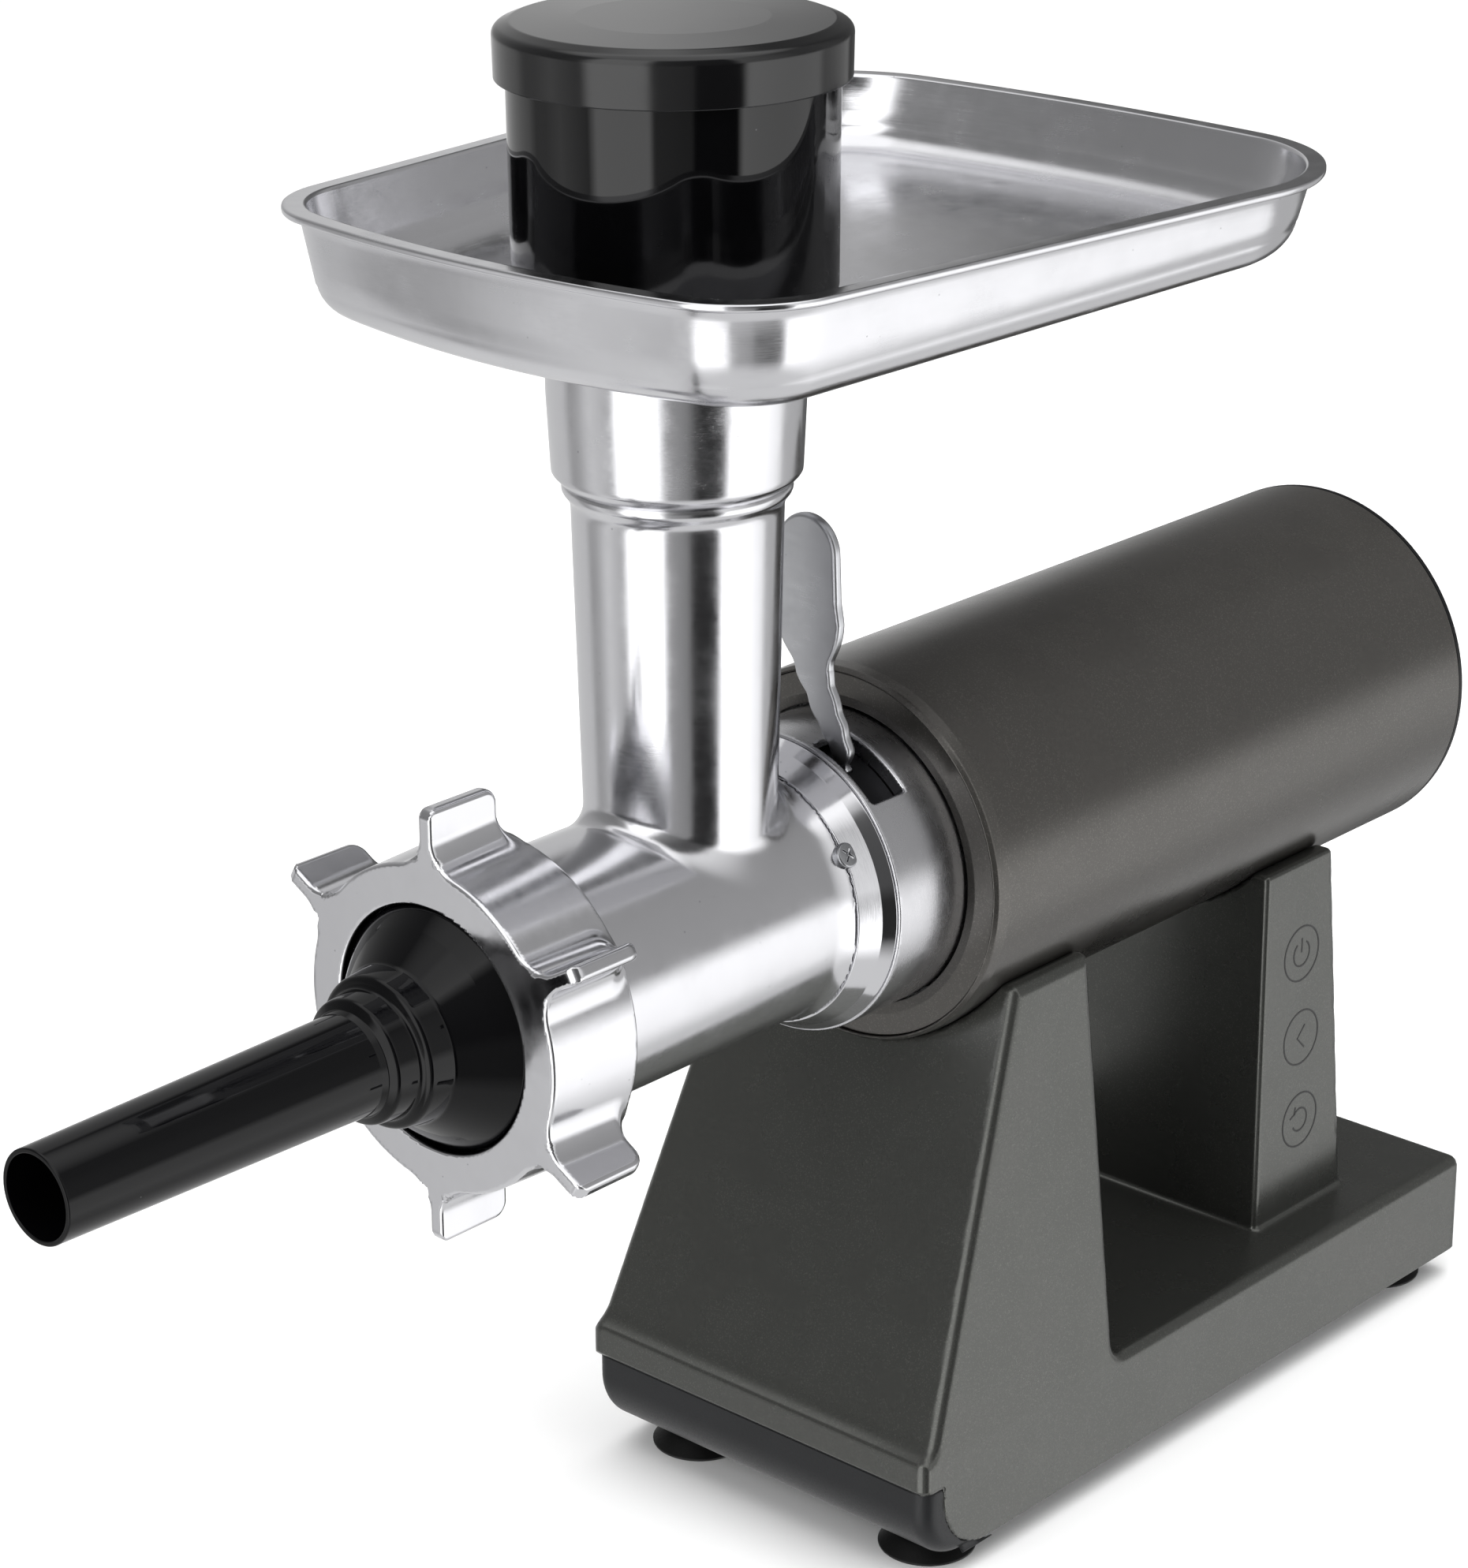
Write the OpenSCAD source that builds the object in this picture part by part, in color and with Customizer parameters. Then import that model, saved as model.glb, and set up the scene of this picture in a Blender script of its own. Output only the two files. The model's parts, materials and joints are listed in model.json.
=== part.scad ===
// Electric meat grinder: a round motor housing on a two-legged stand, a cast
// grinder head that slides into a front socket, a hopper tray and a pusher.
// Front is -Y, the touch-key side is +X, and the table is the plane z = 0.

/* [Housing] */
// Outer radius of the round motor housing
housing_r = 53; // [50:0.5:56]
// Height of the drive axis above the table
axis_z = 188; // [184:1:196]
// Y of the housing's front rim
front_y = 27.6; // [26:0.2:29]
// Y of the housing's rear face
rear_y = 248.4; // [246:0.2:252]
// Wall of the housing tube
tube_wall = 1.7; // [1.2:0.1:2]

/* [Stand] */
// Half the width of the base
base_half_w = 61.8; // [58:0.1:64]
// Y of the base's front edge
base_front_y = -10; // [-14:1:-6]
// Y of the base's rear edge
base_rear_y = 247; // [244:1:248]
// Height of the base plate's top
plate_z = 39.4; // [37:0.2:42]
// Height of the lower edge of the painted front face
front_edge_z = 31; // [28:1:33]
// Height of the painted skirt's lower edge
skirt_z = 8; // [7:0.5:10]
// Height of the front leg's top ledge
front_leg_z = 158.5; // [154:0.5:162]
// Half the width of the front leg's top
front_leg_half_w = 49.3; // [47:0.1:52]
// Half the width of the rear leg
rear_leg_half_w = 44.7; // [42:0.1:47]
// Wall of the stand moulding
stand_wall = 2.8; // [2.4:0.1:3.2]

/* [Feet] */
// Radius of a suction foot
foot_r = 13.6; // [12:0.2:15]
// Sideways place of the feet
foot_x = 42.4; // [40:0.2:44]
// Y of the front and rear feet
foot_ys = [14.5, 231.3];

/* [Head] */
// Outer radius of the barrel
barrel_r = 34; // [33.5:0.1:34]
// Bore of the barrel
barrel_bore_r = 30; // [29:0.5:30.5]
// Y of the feed tube's axis
feed_y = -36.4; // [-40:0.2:-34]
// Bore radius of the feed tube
feed_bore_r = 22; // [21.8:0.1:22.4]
// Height of the feed tube's mouth
feed_top_z = 331; // [329:1:333]
// Y of the ring nut's front face
nut_front_y = -126.4; // [-128:0.2:-126]
// Radius of the ring nut's opening
nut_open_r = 32; // [31:0.2:33]
// Y of the sausage tube's tip
tip_y = -248.4; // [-256:0.2:-240]

/* [Tray and pusher] */
// Height of the tray's rim
rim_z = 376.3; // [374:0.1:380]
// Outside height of the tray's floor at the front
floor_z = 347.4; // [345:0.2:349]
// Half the width of the tray at its front corners
tray_front_half = 85.7; // [82:0.5:88]
// Half the width of the tray at its rear corners
tray_rear_half = 100.4; // [96:0.5:104]
// Radius of the pusher's cap
cap_r = 43.7; // [43.5:0.1:45]
// Height of the pusher's top
cap_top_z = 423.5; // [421:0.5:428]

/* [Hidden] */
$fn = 72;
clear = 0.3;
bezel_depth = 8;
socket_r = 41.5;
socket_bore_r = barrel_r + 0.05;
chamber_r = 39.4;
socket_front_y = 1.9;
chamber_rear_y = 17.3;
lip_front_y = -7.9;
socket_rear_y = 37.6;
case_r = 48.5;
case_wall = 3;
case_front_y = socket_rear_y;
case_rear_y = 86;
shaft_offset = 24;
out_shaft_r = 10;
bearing_r = 16.5;
counter_r = 4;
rotor_shaft_r = 4;
pressure = 25;
addendum = 0.8;
dedendum = 1.15;
stage1_m = 0.8;
stage1_wheel = 51;
stage2_m = 1.2;
stage2_wheel = 31;
pinion_teeth = 9;
can_r = 42;
post_r = 36;
can_y = [100, 190];
magnet_r = [33.6, 39.2];
armature_y = [116, 176];
lever_y = 9.2;
lever_t = 3;
lever_path = [[3.6, 279, 10], [4, 259, 10.3], [5.6, 247, 5.2], [9.4, 238, 4], [12.7, 232, 3.4],
  [15.3, 226.8, 2.6]];
lever_deg = 23.8;
lock_ring_r = 37.2;
window_deg = [44, 77];
window_y = [4.2, 17.2];
disc_y = -121.6;
spider_y = -117.3;
head_front_y = -117.2;
screw_deg = 30.7;
wing_count = 6;
wing_r = 57.5;
wing_t = 4.4;
nut_r = 42.6;
nut_rear_y = -98.2;
tray_front_y = -61.8;
tray_rear_y = 159;
tray_wall = 2.2;
floor_tilt = 2;
plunger_r = 21.3;
feed_r = 26.8;
shoulder_r = 28.3;
neck_z = 307.6;
rear_leg_y = [162.2, 206.6];
rear_leg_top_y = 194.5;
rear_leg_z = 152;
front_leg_back_y = 73;
front_leg_top_y = 41.2;
gland_x = -30;
gland_z = 27;
bolt_x = 20;
bolt_ys = [56, 178];
saddle_r = housing_r + 0.1;
// the side panels end behind the base cover's nose in a large round
panel_y = base_front_y + 8;
panel_r = 19;
cover_z = 7;
cover_wall = 3;
nose_y = base_front_y + 1.2;
nose_r = 17;
nose_edge_r = 5;

// Lays a shape that is turned about Z along the drive axis, with its Z as +Y.
module on_axis(x = 0, z = 0) {
  translate([x, 0, axis_z + z]) rotate([-90, 0, 0]) children();
}

// A ring or rod about the drive axis, from y0 to y1.
module ring_y(r_out, r_in, y0, y1, x = 0, z = 0) {
  on_axis(x, z) translate([0, 0, y0]) difference() {
    cylinder(r = r_out, h = y1 - y0);
    if (r_in > 0) translate([0, 0, -1]) cylinder(r = r_in, h = y1 - y0 + 2);
  }
}

// A box between two corners.
module box(a, b) {
  translate(a) cube(b - a);
}

// Copies a shape to each angle about the drive axis.
module around_axis(angles) {
  for (a = angles) translate([0, 0, axis_z]) rotate([0, a, 0]) translate([0, 0, -axis_z]) children();
}

// ---- stand ----

// Round at the side panels' lower front corner, as Y and Z, from its foot up, moved out by g.
function panel_round(g) = [for (k = [0:12])
  [panel_y + panel_r, skirt_z + panel_r] + polar(panel_r + g, 270 - 7.5 * k)];

// Side outline of both legs and the plate, as Y and Z, drawn inside by a wall w.
module stand_side(w) {
  foot = w > 0 ? [[base_front_y + w, skirt_z - 1], [base_front_y + w, front_edge_z]] :
    concat([[panel_y + panel_r, skirt_z - 1]], panel_round(0),
      [[panel_y, front_edge_z], [base_front_y, front_edge_z]]);
  polygon(concat(foot, [[front_leg_top_y + w, front_leg_z - w], [front_leg_back_y - w, front_leg_z - w],
    [front_leg_back_y - w, plate_z - w], [rear_leg_y[0] + w, plate_z - w],
    [rear_leg_y[0] + w, rear_leg_z - w], [rear_leg_top_y - w, rear_leg_z - w],
    [rear_leg_y[1] - w, plate_z - w], [base_rear_y - w, plate_z - w], [base_rear_y - w, skirt_z - 1]]));
}

// Front outline of the stand, as X and Z: upright skirt, then the tapered leg.
module stand_front(w) {
  polygon([[-base_half_w + w, skirt_z - 1], [-base_half_w + w, plate_z - w / 2],
    [-front_leg_half_w + w, front_leg_z], [front_leg_half_w - w, front_leg_z],
    [base_half_w - w, plate_z - w / 2], [base_half_w - w, skirt_z - 1]]);
}

module stand_solid(w) {
  intersection() {
    rotate([90, 0, 90]) translate([0, 0, -80]) linear_extrude(160) stand_side(w);
    rotate([90, 0, 0]) translate([0, 0, -260]) linear_extrude(280) stand_front(w);
    union() {
      box([-80, -40, 0], [80, 100, 200]);
      box([-rear_leg_half_w + w, 100, 0], [rear_leg_half_w - w, 260, 200]);
      box([-80, 100, 0], [80, 260, plate_z - w]);
    }
  }
}

module stand_shell() {
  color("dimgray") difference() {
    stand_solid(0);
    difference() {
      stand_solid(stand_wall);
      ring_y(saddle_r + stand_wall, 0, -50, 300);
    }
    box([-90, -40, 0], [90, 300, skirt_z]);
    ring_y(saddle_r, 0, -50, 300);
    for (y = bolt_ys) for (x = [-bolt_x, bolt_x]) translate([x, y, 125]) cylinder(r = 2.8, h = 25);
    translate([gland_x, base_rear_y - 5, gland_z]) rotate([-90, 0, 0]) cylinder(r = 6.1, h = 10);
  }
}

// Side outline of the base cover's nose, as Y and Z, drawn inside by i.
function nose_points(i) = concat([[nose_y + 30, cover_z + i]],
  [for (k = [12:-1:0]) [nose_y + nose_r, cover_z + nose_r] + polar(nose_r - i, 180 + 7.5 * k)],
  [[nose_y + i, front_edge_z - 0.2 + i], [nose_y + 30, front_edge_z - 0.2 + i]]);

// Lays an outline of Y and Z upright along X, from x0 to x1.
module across(x0, x1) {
  rotate([90, 0, 90]) translate([0, 0, x0]) linear_extrude(x1 - x0) children();
}

// Black nose under the painted front, which wraps round both front corners.
module cover_nose(inner_half) {
  half = base_half_w - 0.4;
  difference() {
    intersection() {
      across(-half, half) polygon(nose_points(0));
      union() {
        box([-half, nose_y + nose_edge_r, 0], [half, nose_y + 40, 40]);
        box([-half + nose_edge_r, nose_y - 1, 0], [half - nose_edge_r, nose_y + 40, 40]);
        for (x = [-1, 1]) translate([x * (half - nose_edge_r), nose_y + nose_edge_r, 0])
          cylinder(r = nose_edge_r, h = 40);
      }
    }
    across(cover_wall - inner_half, inner_half - cover_wall) polygon(nose_points(cover_wall));
    for (x = [inner_half, -base_half_w - 5]) across(x, x + base_half_w + 5 - inner_half)
      polygon(concat([[60, skirt_z - 0.2]], panel_round(0.2), [[panel_y - 0.2, 60], [60, 60]]));
  }
}

module bottom_cover() {
  inner_half = base_half_w - stand_wall - 0.15;
  color([0.09, 0.09, 0.1]) difference() {
    union() {
      hull() {
        for (x = [-1, 1]) for (y = [nose_y + 26, base_rear_y - 12.2]) {
          inward = y < 100 ? 3 : -3;
          translate([x * (inner_half - 9), y, 13]) cylinder(r = 9, h = 5, $fn = 32);
          translate([x * (inner_half - 13), y + inward, cover_z]) cylinder(r = 9, h = 5, $fn = 32);
        }
      }
      cover_nose(inner_half);
      for (x = [-1, 1]) for (y = foot_ys) translate([x * foot_x, y, cover_z]) cylinder(r = 8, h = 14);
    }
    box([-inner_half + 4, nose_y + nose_r, cover_z + cover_wall], [inner_half - 4, base_rear_y - 7, 40]);
    for (x = [-1, 1]) for (y = foot_ys) translate([x * foot_x, y, 0]) cylinder(r = 2.6, h = 40);
    for (x = [-30, 30]) for (y = [70, 170]) translate([x, y, 0]) cylinder(r = 2.2, h = 40);
  }
}

module bottom_cover_screws() {
  color("silver") for (x = [-30, 30]) for (y = [70, 170]) {
    translate([x, y, 5.4]) cylinder(r = 3.6, h = 1.6);
    translate([x, y, 7]) cylinder(r = 2, h = 9);
  }
}

module suction_feet() {
  color([0.05, 0.05, 0.06]) for (x = [-1, 1]) for (y = foot_ys) translate([x * foot_x, y, 0])
    rotate_extrude() polygon([[foot_r - 2.2, 0], [foot_r, 0], [foot_r, 1], [9, 5.4], [7, 6.9], [2.5, 6.9],
      [2.5, 16], [0, 16], [0, 4], [7, 3.4]]);
}

module stand_bolts() {
  color("silver") for (y = bolt_ys) for (x = [-bolt_x, bolt_x]) translate([x, y, 0]) {
    translate([0, 0, 134]) cylinder(r = 2.5, h = 8.3);
    translate([0, 0, 131]) cylinder(r = 4.5, h = 3);
  }
}

module cord_gland() {
  color([0.06, 0.06, 0.07]) translate([gland_x, 0, gland_z]) rotate([-90, 0, 0]) difference() {
    union() {
      translate([0, 0, base_rear_y - 12]) cylinder(r = 6, h = 12);
      translate([0, 0, base_rear_y]) cylinder(r = 8, h = 1.3);
      translate([0, 0, base_rear_y - 12]) cylinder(r = 8, h = 6);
    }
    translate([0, 0, base_rear_y - 20]) cylinder(r = 3.6, h = 30);
  }
}

module touch_board() {
  x = rear_leg_half_w - stand_wall;
  color("green") box([x - 2.2, 167, 58], [x - 0.6, 189, 134]);
  color("silver") for (k = [0:2]) translate([x - 0.6, 182.2 - 1.2 * k, 68.7 + 27.1 * k])
    rotate([0, 90, 0]) cylinder(r = 5, h = 0.5);
}

module control_board() {
  color("green") box([-40, 78, 22], [40, 158, 23.6]);
  color("dimgray") for (x = [-34, 34]) for (y = [84, 152]) translate([x, y, 10]) cylinder(r = 3, h = 12);
}

module power_components() {
  color("black") translate([-24, 98, 23.6]) cylinder(r = 8, h = 12);
  color("gold") box([2, 88, 23.6], [22, 108, 35]);
  color("silver") box([-10, 120, 23.6], [30, 150, 34]);
}

// ---- housing ----

module housing_tube() {
  color("dimgray") difference() {
    on_axis() rotate_extrude($fn = 144) difference() {
      union() {
        translate([housing_r - 1.7, front_y + 1.7]) circle(r = 1.7, $fn = 32);
        translate([housing_r - tube_wall, front_y + 1.7]) square([tube_wall, rear_y - 5.2 - front_y]);
      }
      translate([housing_r - 6 - tube_wall, front_y - 5]) square([6, 300]);
    }
    for (y = bolt_ys) for (x = [-bolt_x, bolt_x]) translate([x, y, 125]) cylinder(r = 2.8, h = 25);
  }
}

module front_bezel() {
  r = housing_r - tube_wall - 0.1;
  color("dimgray") on_axis() rotate_extrude($fn = 144)
    polygon([[socket_r + 0.5, front_y + 0.8], [45, front_y + 0.2], [r, front_y + 0.4],
      [r, front_y + bezel_depth], [socket_r + 0.5, front_y + bezel_depth]]);
}

module rear_cap() {
  r = housing_r - tube_wall - 0.1;
  color([0.07, 0.07, 0.08]) difference() {
    on_axis() rotate_extrude($fn = 144) polygon([[0, rear_y - 3], [r, rear_y - 14], [r, rear_y - 3.4],
      [housing_r, rear_y - 3.4], [housing_r, rear_y - 2], [housing_r - 2, rear_y], [0, rear_y]]);
    on_axis() translate([0, 0, rear_y - 30]) cylinder(r = r - 2.4, h = 27);
    around_axis([for (k = [0:17]) 10 + k * 20])
      box([-1.5, rear_y - 10, axis_z + 18], [1.5, rear_y + 5, axis_z + 42]);
    around_axis([0, 120, 240]) on_axis(0, post_r) {
      translate([0, 0, rear_y - 10]) cylinder(r = 1.8, h = 20);
      translate([0, 0, rear_y - 1.8]) cylinder(r = 3.2, h = 5);
    }
  }
}

module rear_cap_screws() {
  color("black") around_axis([0, 120, 240]) {
    ring_y(1.7, 0, rear_y - 14, rear_y - 1.8, 0, post_r);
    ring_y(3, 0, rear_y - 1.8, rear_y - 0.3, 0, post_r);
  }
}

// ---- socket and lock ----

module socket_collar() {
  color("lightgray") difference() {
    on_axis() rotate_extrude($fn = 96) polygon([[chamber_r, socket_front_y],
      [socket_r - 0.4, socket_front_y], [socket_r, socket_front_y + 4], [socket_r, socket_rear_y],
      [14, socket_rear_y], [14, 32],
      [socket_bore_r, 32], [socket_bore_r, chamber_rear_y], [chamber_r, chamber_rear_y]]);
    on_axis() translate([0, 0, window_y[0]])
      rotate_extrude(angle = window_deg[1] - window_deg[0], start = -window_deg[1])
        translate([chamber_r - 2, 0]) square([6, window_y[1] - window_y[0]]);
    around_axis([45, 135, 225, 315]) on_axis(0, 24) translate([0, 0, 28]) cylinder(r = 2.2, h = 20);
  }
}

module socket_lip() {
  color("lightgray") difference() {
    on_axis() rotate_extrude($fn = 96) polygon([[socket_bore_r, lip_front_y], [35.9, lip_front_y],
      [38.7, -1.6], [socket_r - 0.5, socket_front_y - 0.1], [socket_bore_r, socket_front_y - 0.1]]);
    around_axis([90 - screw_deg]) translate([0, lip_front_y + 0.4, axis_z]) cylinder(r = 4, h = 60);
  }
}

module socket_screws() {
  color("silver") around_axis([45, 135, 225, 315]) {
    ring_y(2, 0, 32, 42, 0, 24);
    ring_y(3.6, 0, 31, 32, 0, 24);
  }
}

// Screw that locates the head in the notch of the socket's lip.
module locating_screw() {
  color("silver") around_axis([90 - screw_deg]) translate([0, lip_front_y + 0.4, axis_z]) {
    difference() {
      translate([0, 0, 34.2]) cylinder(r = 3.6, h = 2.8);
      translate([0, 0, 36.4]) for (a = [45, 135]) rotate([0, 0, a]) box([-2.2, -0.45, 0], [2.2, 0.45, 2]);
    }
    translate([0, 0, 31]) cylinder(r = 1.7, h = 3.2);
  }
}

module lock_ring() {
  half_t = lever_t / 2 + 0.05;
  color("silver") difference() {
    ring_y(lock_ring_r, 34.3, 4.6, 16.8);
    around_axis([lever_deg]) box([-2.8, lever_y - half_t, axis_z + 36.2], [2.8, lever_y + half_t, axis_z + 45]);
    around_axis([lever_deg]) translate([0, lever_y, axis_z]) cylinder(r = 1.3, h = 60);
  }
}

module lock_lever() {
  half_t = lever_t / 2;
  color("silver") difference() {
    union() {
      translate([0, lever_y + half_t, 0]) rotate([90, 0, 0]) linear_extrude(lever_t)
        for (k = [1:len(lever_path) - 1]) hull() for (p = [lever_path[k - 1], lever_path[k]])
          translate([p[0], p[1]]) circle(r = p[2], $fn = 32);
      around_axis([lever_deg])
        box([-2.6, lever_y - half_t, axis_z + 36.3], [2.6, lever_y + half_t, axis_z + 43]);
    }
    around_axis([lever_deg]) translate([0, lever_y, axis_z + 34]) cylinder(r = 0.9, h = 7);
  }
}

module lever_screw() {
  color("gray") around_axis([lever_deg]) translate([0, lever_y, axis_z + 34.5]) cylinder(r = 0.85, h = 6);
}

// ---- gears ----

// Involute angle at radius r for base radius rb.
function inv_angle(r, rb) = r <= rb ? 0 : sqrt(pow(r / rb, 2) - 1) * 180 / PI - acos(rb / r);

// Half angle of a tooth at radius r.
function tooth_half(r, m, z) =
  let (rb = m * z / 2 * cos(pressure))
  82 / z + inv_angle(m * z / 2, rb) - inv_angle(r, rb);

function polar(r, a) = [r * cos(a), r * sin(a)];

// Outline of a gear of module m with z teeth, tooth 0 at angle phase.
function gear_points(m, z, phase) =
  let (rp = m * z / 2, rb = rp * cos(pressure), rf = rp - dedendum * m, ra = rp + addendum * m)
  let (radii = [rf, max(rf + 0.05, rb), (max(rf, rb) + rp) / 2, rp, (rp + ra) / 2, ra])
  [for (k = [0:z - 1]) let (c = phase + k * 360 / z)
    each concat([for (r = radii) polar(r, c - tooth_half(r, m, z))],
      [for (i = [5:-1:0]) polar(radii[i], c + tooth_half(radii[i], m, z))])];

module gear_y(m, z, phase, bore, y0, y1, up = 0) {
  on_axis(0, up) translate([0, 0, y0]) difference() {
    linear_extrude(y1 - y0) polygon(gear_points(m, z, phase));
    translate([0, 0, -1]) cylinder(r = bore, h = y1 - y0 + 2);
  }
}

module motor_pinion() {
  color("gold") gear_y(stage1_m, pinion_teeth, 270, 1.8, 63, 76);
}

module countershaft_wheel() {
  color("ivory") gear_y(stage1_m, stage1_wheel, 90 + 180 / stage1_wheel, counter_r, 64, 74, shaft_offset);
}

module countershaft() {
  color("gray") {
    ring_y(counter_r, 0, 61.9, 89, 0, shaft_offset);
    gear_y(stage2_m, pinion_teeth, 90, 0.001, 45.5, 62, shaft_offset);
    ring_y(counter_r, 0, 39, 45.6, 0, shaft_offset);
  }
}

module output_gear() {
  color("gray") gear_y(stage2_m, stage2_wheel, 270 + 180 / stage2_wheel, out_shaft_r, 47, 60);
}

module output_shaft() {
  color("silver") difference() {
    ring_y(out_shaft_r, 0, 31, 61);
    on_axis() translate([0, 0, 30]) cylinder(r = 6.2, h = 16, $fn = 6);
  }
}

module output_bearing() {
  color("silver") ring_y(bearing_r, out_shaft_r + 0.05, 38.2, 45.8);
}

module countershaft_bushes() {
  color("peru") {
    ring_y(7, counter_r + 0.05, 38.6, 45, 0, shaft_offset);
    ring_y(7, counter_r + 0.05, 86, 91, 0, shaft_offset);
  }
}

module gearbox_case() {
  color("lightgray") difference() {
    ring_y(case_r, 0, case_front_y, case_rear_y);
    ring_y(case_r - case_wall, 0, case_front_y + 5.4, case_rear_y + 1);
    ring_y(bearing_r, 0, case_front_y + 0.6, case_rear_y);
    ring_y(out_shaft_r + 1, 0, case_front_y - 1, case_rear_y);
    ring_y(7, 0, case_front_y + 1, case_rear_y, 0, shaft_offset);
    around_axis([45, 135, 225, 315]) on_axis(0, 24) translate([0, 0, 30]) cylinder(r = 2, h = 12.1);
  }
}

module gearbox_cover() {
  color("lightgray") difference() {
    ring_y(case_r, 0, case_rear_y, 91);
    ring_y(9, 0, case_rear_y - 1, 92);
    ring_y(7, 0, case_rear_y - 1, 92, 0, shaft_offset);
  }
}

// ---- motor ----

module motor_front_plate() {
  color("gray") ring_y(can_r, 11, 91, 99.9);
}

module motor_can() {
  color("gray") ring_y(can_r, can_r - 2.6, can_y[0], can_y[1]);
}

module motor_magnets() {
  color([0.2, 0.2, 0.22]) difference() {
    ring_y(magnet_r[1], magnet_r[0], 108, 184);
    box([-60, 90, axis_z - 60], [60, 200, axis_z - 22]);
    box([-60, 90, axis_z + 22], [60, 200, axis_z + 60]);
  }
}

module motor_end_bell() {
  color([0.15, 0.15, 0.16]) {
    difference() {
      ring_y(can_r, 11, 190.1, 214);
      ring_y(can_r - 4, 0, 190, 206);
    }
    for (s = [-1, 1]) difference() {
      box([min(s * 15, s * 40), 192.5, axis_z - 4.6], [max(s * 15, s * 40), 201.5, axis_z + 4.6]);
      box([min(s * 12, s * 37), 193.9, axis_z - 3.1], [max(s * 12, s * 37), 200.1, axis_z + 3.1]);
    }
    // posts that take the rear cap's screws
    around_axis([0, 120, 240]) ring_y(4, 1.75, 213, rear_y - 3.1, 0, post_r);
  }
}

module motor_bearings() {
  color("silver") {
    ring_y(11, rotor_shaft_r + 0.05, 92, 99);
    ring_y(11, rotor_shaft_r + 0.05, 206.5, 213.5);
  }
}

module rotor_shaft() {
  color("silver") {
    ring_y(rotor_shaft_r, 0, 77, 218);
    ring_y(1.8, 0, 63, 77);
  }
}

module armature_core() {
  color("gray") difference() {
    ring_y(33, rotor_shaft_r, armature_y[0], armature_y[1]);
    around_axis([for (k = [0:11]) k * 30]) box([-1.6, 110, axis_z + 20], [1.6, 190, axis_z + 40]);
  }
}

module armature_windings() {
  color("peru") {
    ring_y(29, 12, armature_y[0] - 9, armature_y[0]);
    ring_y(29, 12, armature_y[1], armature_y[1] + 9);
  }
}

module commutator() {
  color("peru") difference() {
    ring_y(12, rotor_shaft_r, 191, 203);
    around_axis([for (k = [0:11]) 15 + k * 30]) box([-0.4, 190, axis_z + 10.5], [0.4, 204, axis_z + 14]);
  }
}

module carbon_brushes() {
  color([0.2, 0.2, 0.2]) for (s = [-1, 1])
    box([min(s * 12.4, s * 26), 194, axis_z - 3], [max(s * 12.4, s * 26), 200, axis_z + 3]);
}

module brush_springs() {
  color("gold") for (s = [-1, 1]) translate([s * 31.5, 197, axis_z]) rotate([0, 90, 0])
    for (k = [-2:2]) translate([0, 0, k * 2 - 0.5]) difference() {
      cylinder(r = 2.6, h = 1);
      translate([0, 0, -1]) cylinder(r = 1.6, h = 3);
    }
}

module cooling_fan() {
  color([0.2, 0.2, 0.2]) {
    ring_y(30, rotor_shaft_r, 100.5, 102);
    around_axis([for (k = [0:8]) k * 40]) box([-0.8, 101, axis_z + 13], [0.8, 106, axis_z + 29]);
  }
}

// ---- head ----

module grinder_head() {
  color("silver") difference() {
    union() {
      on_axis() rotate_extrude($fn = 96) polygon([[0, head_front_y], [38.3, head_front_y], [38.3, -102],
        [barrel_r, -97], [barrel_r, -13], [35.7, lip_front_y - 0.1], [barrel_r, lip_front_y - 0.1],
        [barrel_r, 30], [0, 30]]);
      translate([0, feed_y, axis_z]) cylinder(r1 = 24.1, r2 = feed_r, h = 304 - axis_z);
      translate([0, feed_y, 303.9]) cylinder(r = feed_r, h = feed_top_z - 303.9);
      // shoulder that the tray's neck stands over
      translate([0, feed_y, 298]) cylinder(r1 = feed_r - 0.3, r2 = shoulder_r, h = 3.4);
      translate([0, feed_y, 301.3]) cylinder(r = shoulder_r, h = neck_z - 0.2 - 301.3);
    }
    translate([0, feed_y, axis_z]) cylinder(r = feed_bore_r, h = 200);
    ring_y(barrel_bore_r, 0, -130, 20);
    ring_y(35.2, 0, -130, spider_y + 5.3);
    ring_y(12, 0, 19, 31);
    around_axis([90 - screw_deg]) translate([0, lip_front_y + 0.4, axis_z]) {
      cylinder(r = 1.8, h = 60);
      translate([0, 0, 34.1]) cylinder(r = 3.7, h = 5);
    }
  }
}

module auger_bush() {
  color("ivory") ring_y(12, 7.05, 20, 30);
}

module auger_shank() {
  color("silver") {
    ring_y(7, 0, 19.5, 30.6);
    on_axis() translate([0, 0, 30.5]) cylinder(r = 6, h = 13.5, $fn = 6);
  }
}

// Helical flight with two blades on a solid core, and the pin at its front.
module auger() {
  color("lightgray") {
    ring_y(11, 0, -109, 19.5);
    ring_y(5, 0, -116, -109);
    on_axis() translate([0, 0, -108]) linear_extrude(height = 126, twist = -1080, slices = 84, $fn = 8)
      polygon([[9, -3.4], [28, -2], [29.2, 0], [28, 2], [9, 3.4]]);
  }
}

module sausage_spider() {
  color("ivory") {
    ring_y(35, 29, spider_y, spider_y + 5.2);
    difference() {
      union() {
        ring_y(9, 0, spider_y, spider_y + 5.2);
        around_axis([30, 150, 270]) box([-2.5, spider_y, axis_z + 8], [2.5, spider_y + 5.2, axis_z + 29.5]);
      }
      ring_y(5.05, 0, spider_y - 1, spider_y + 7);
    }
  }
}

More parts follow.
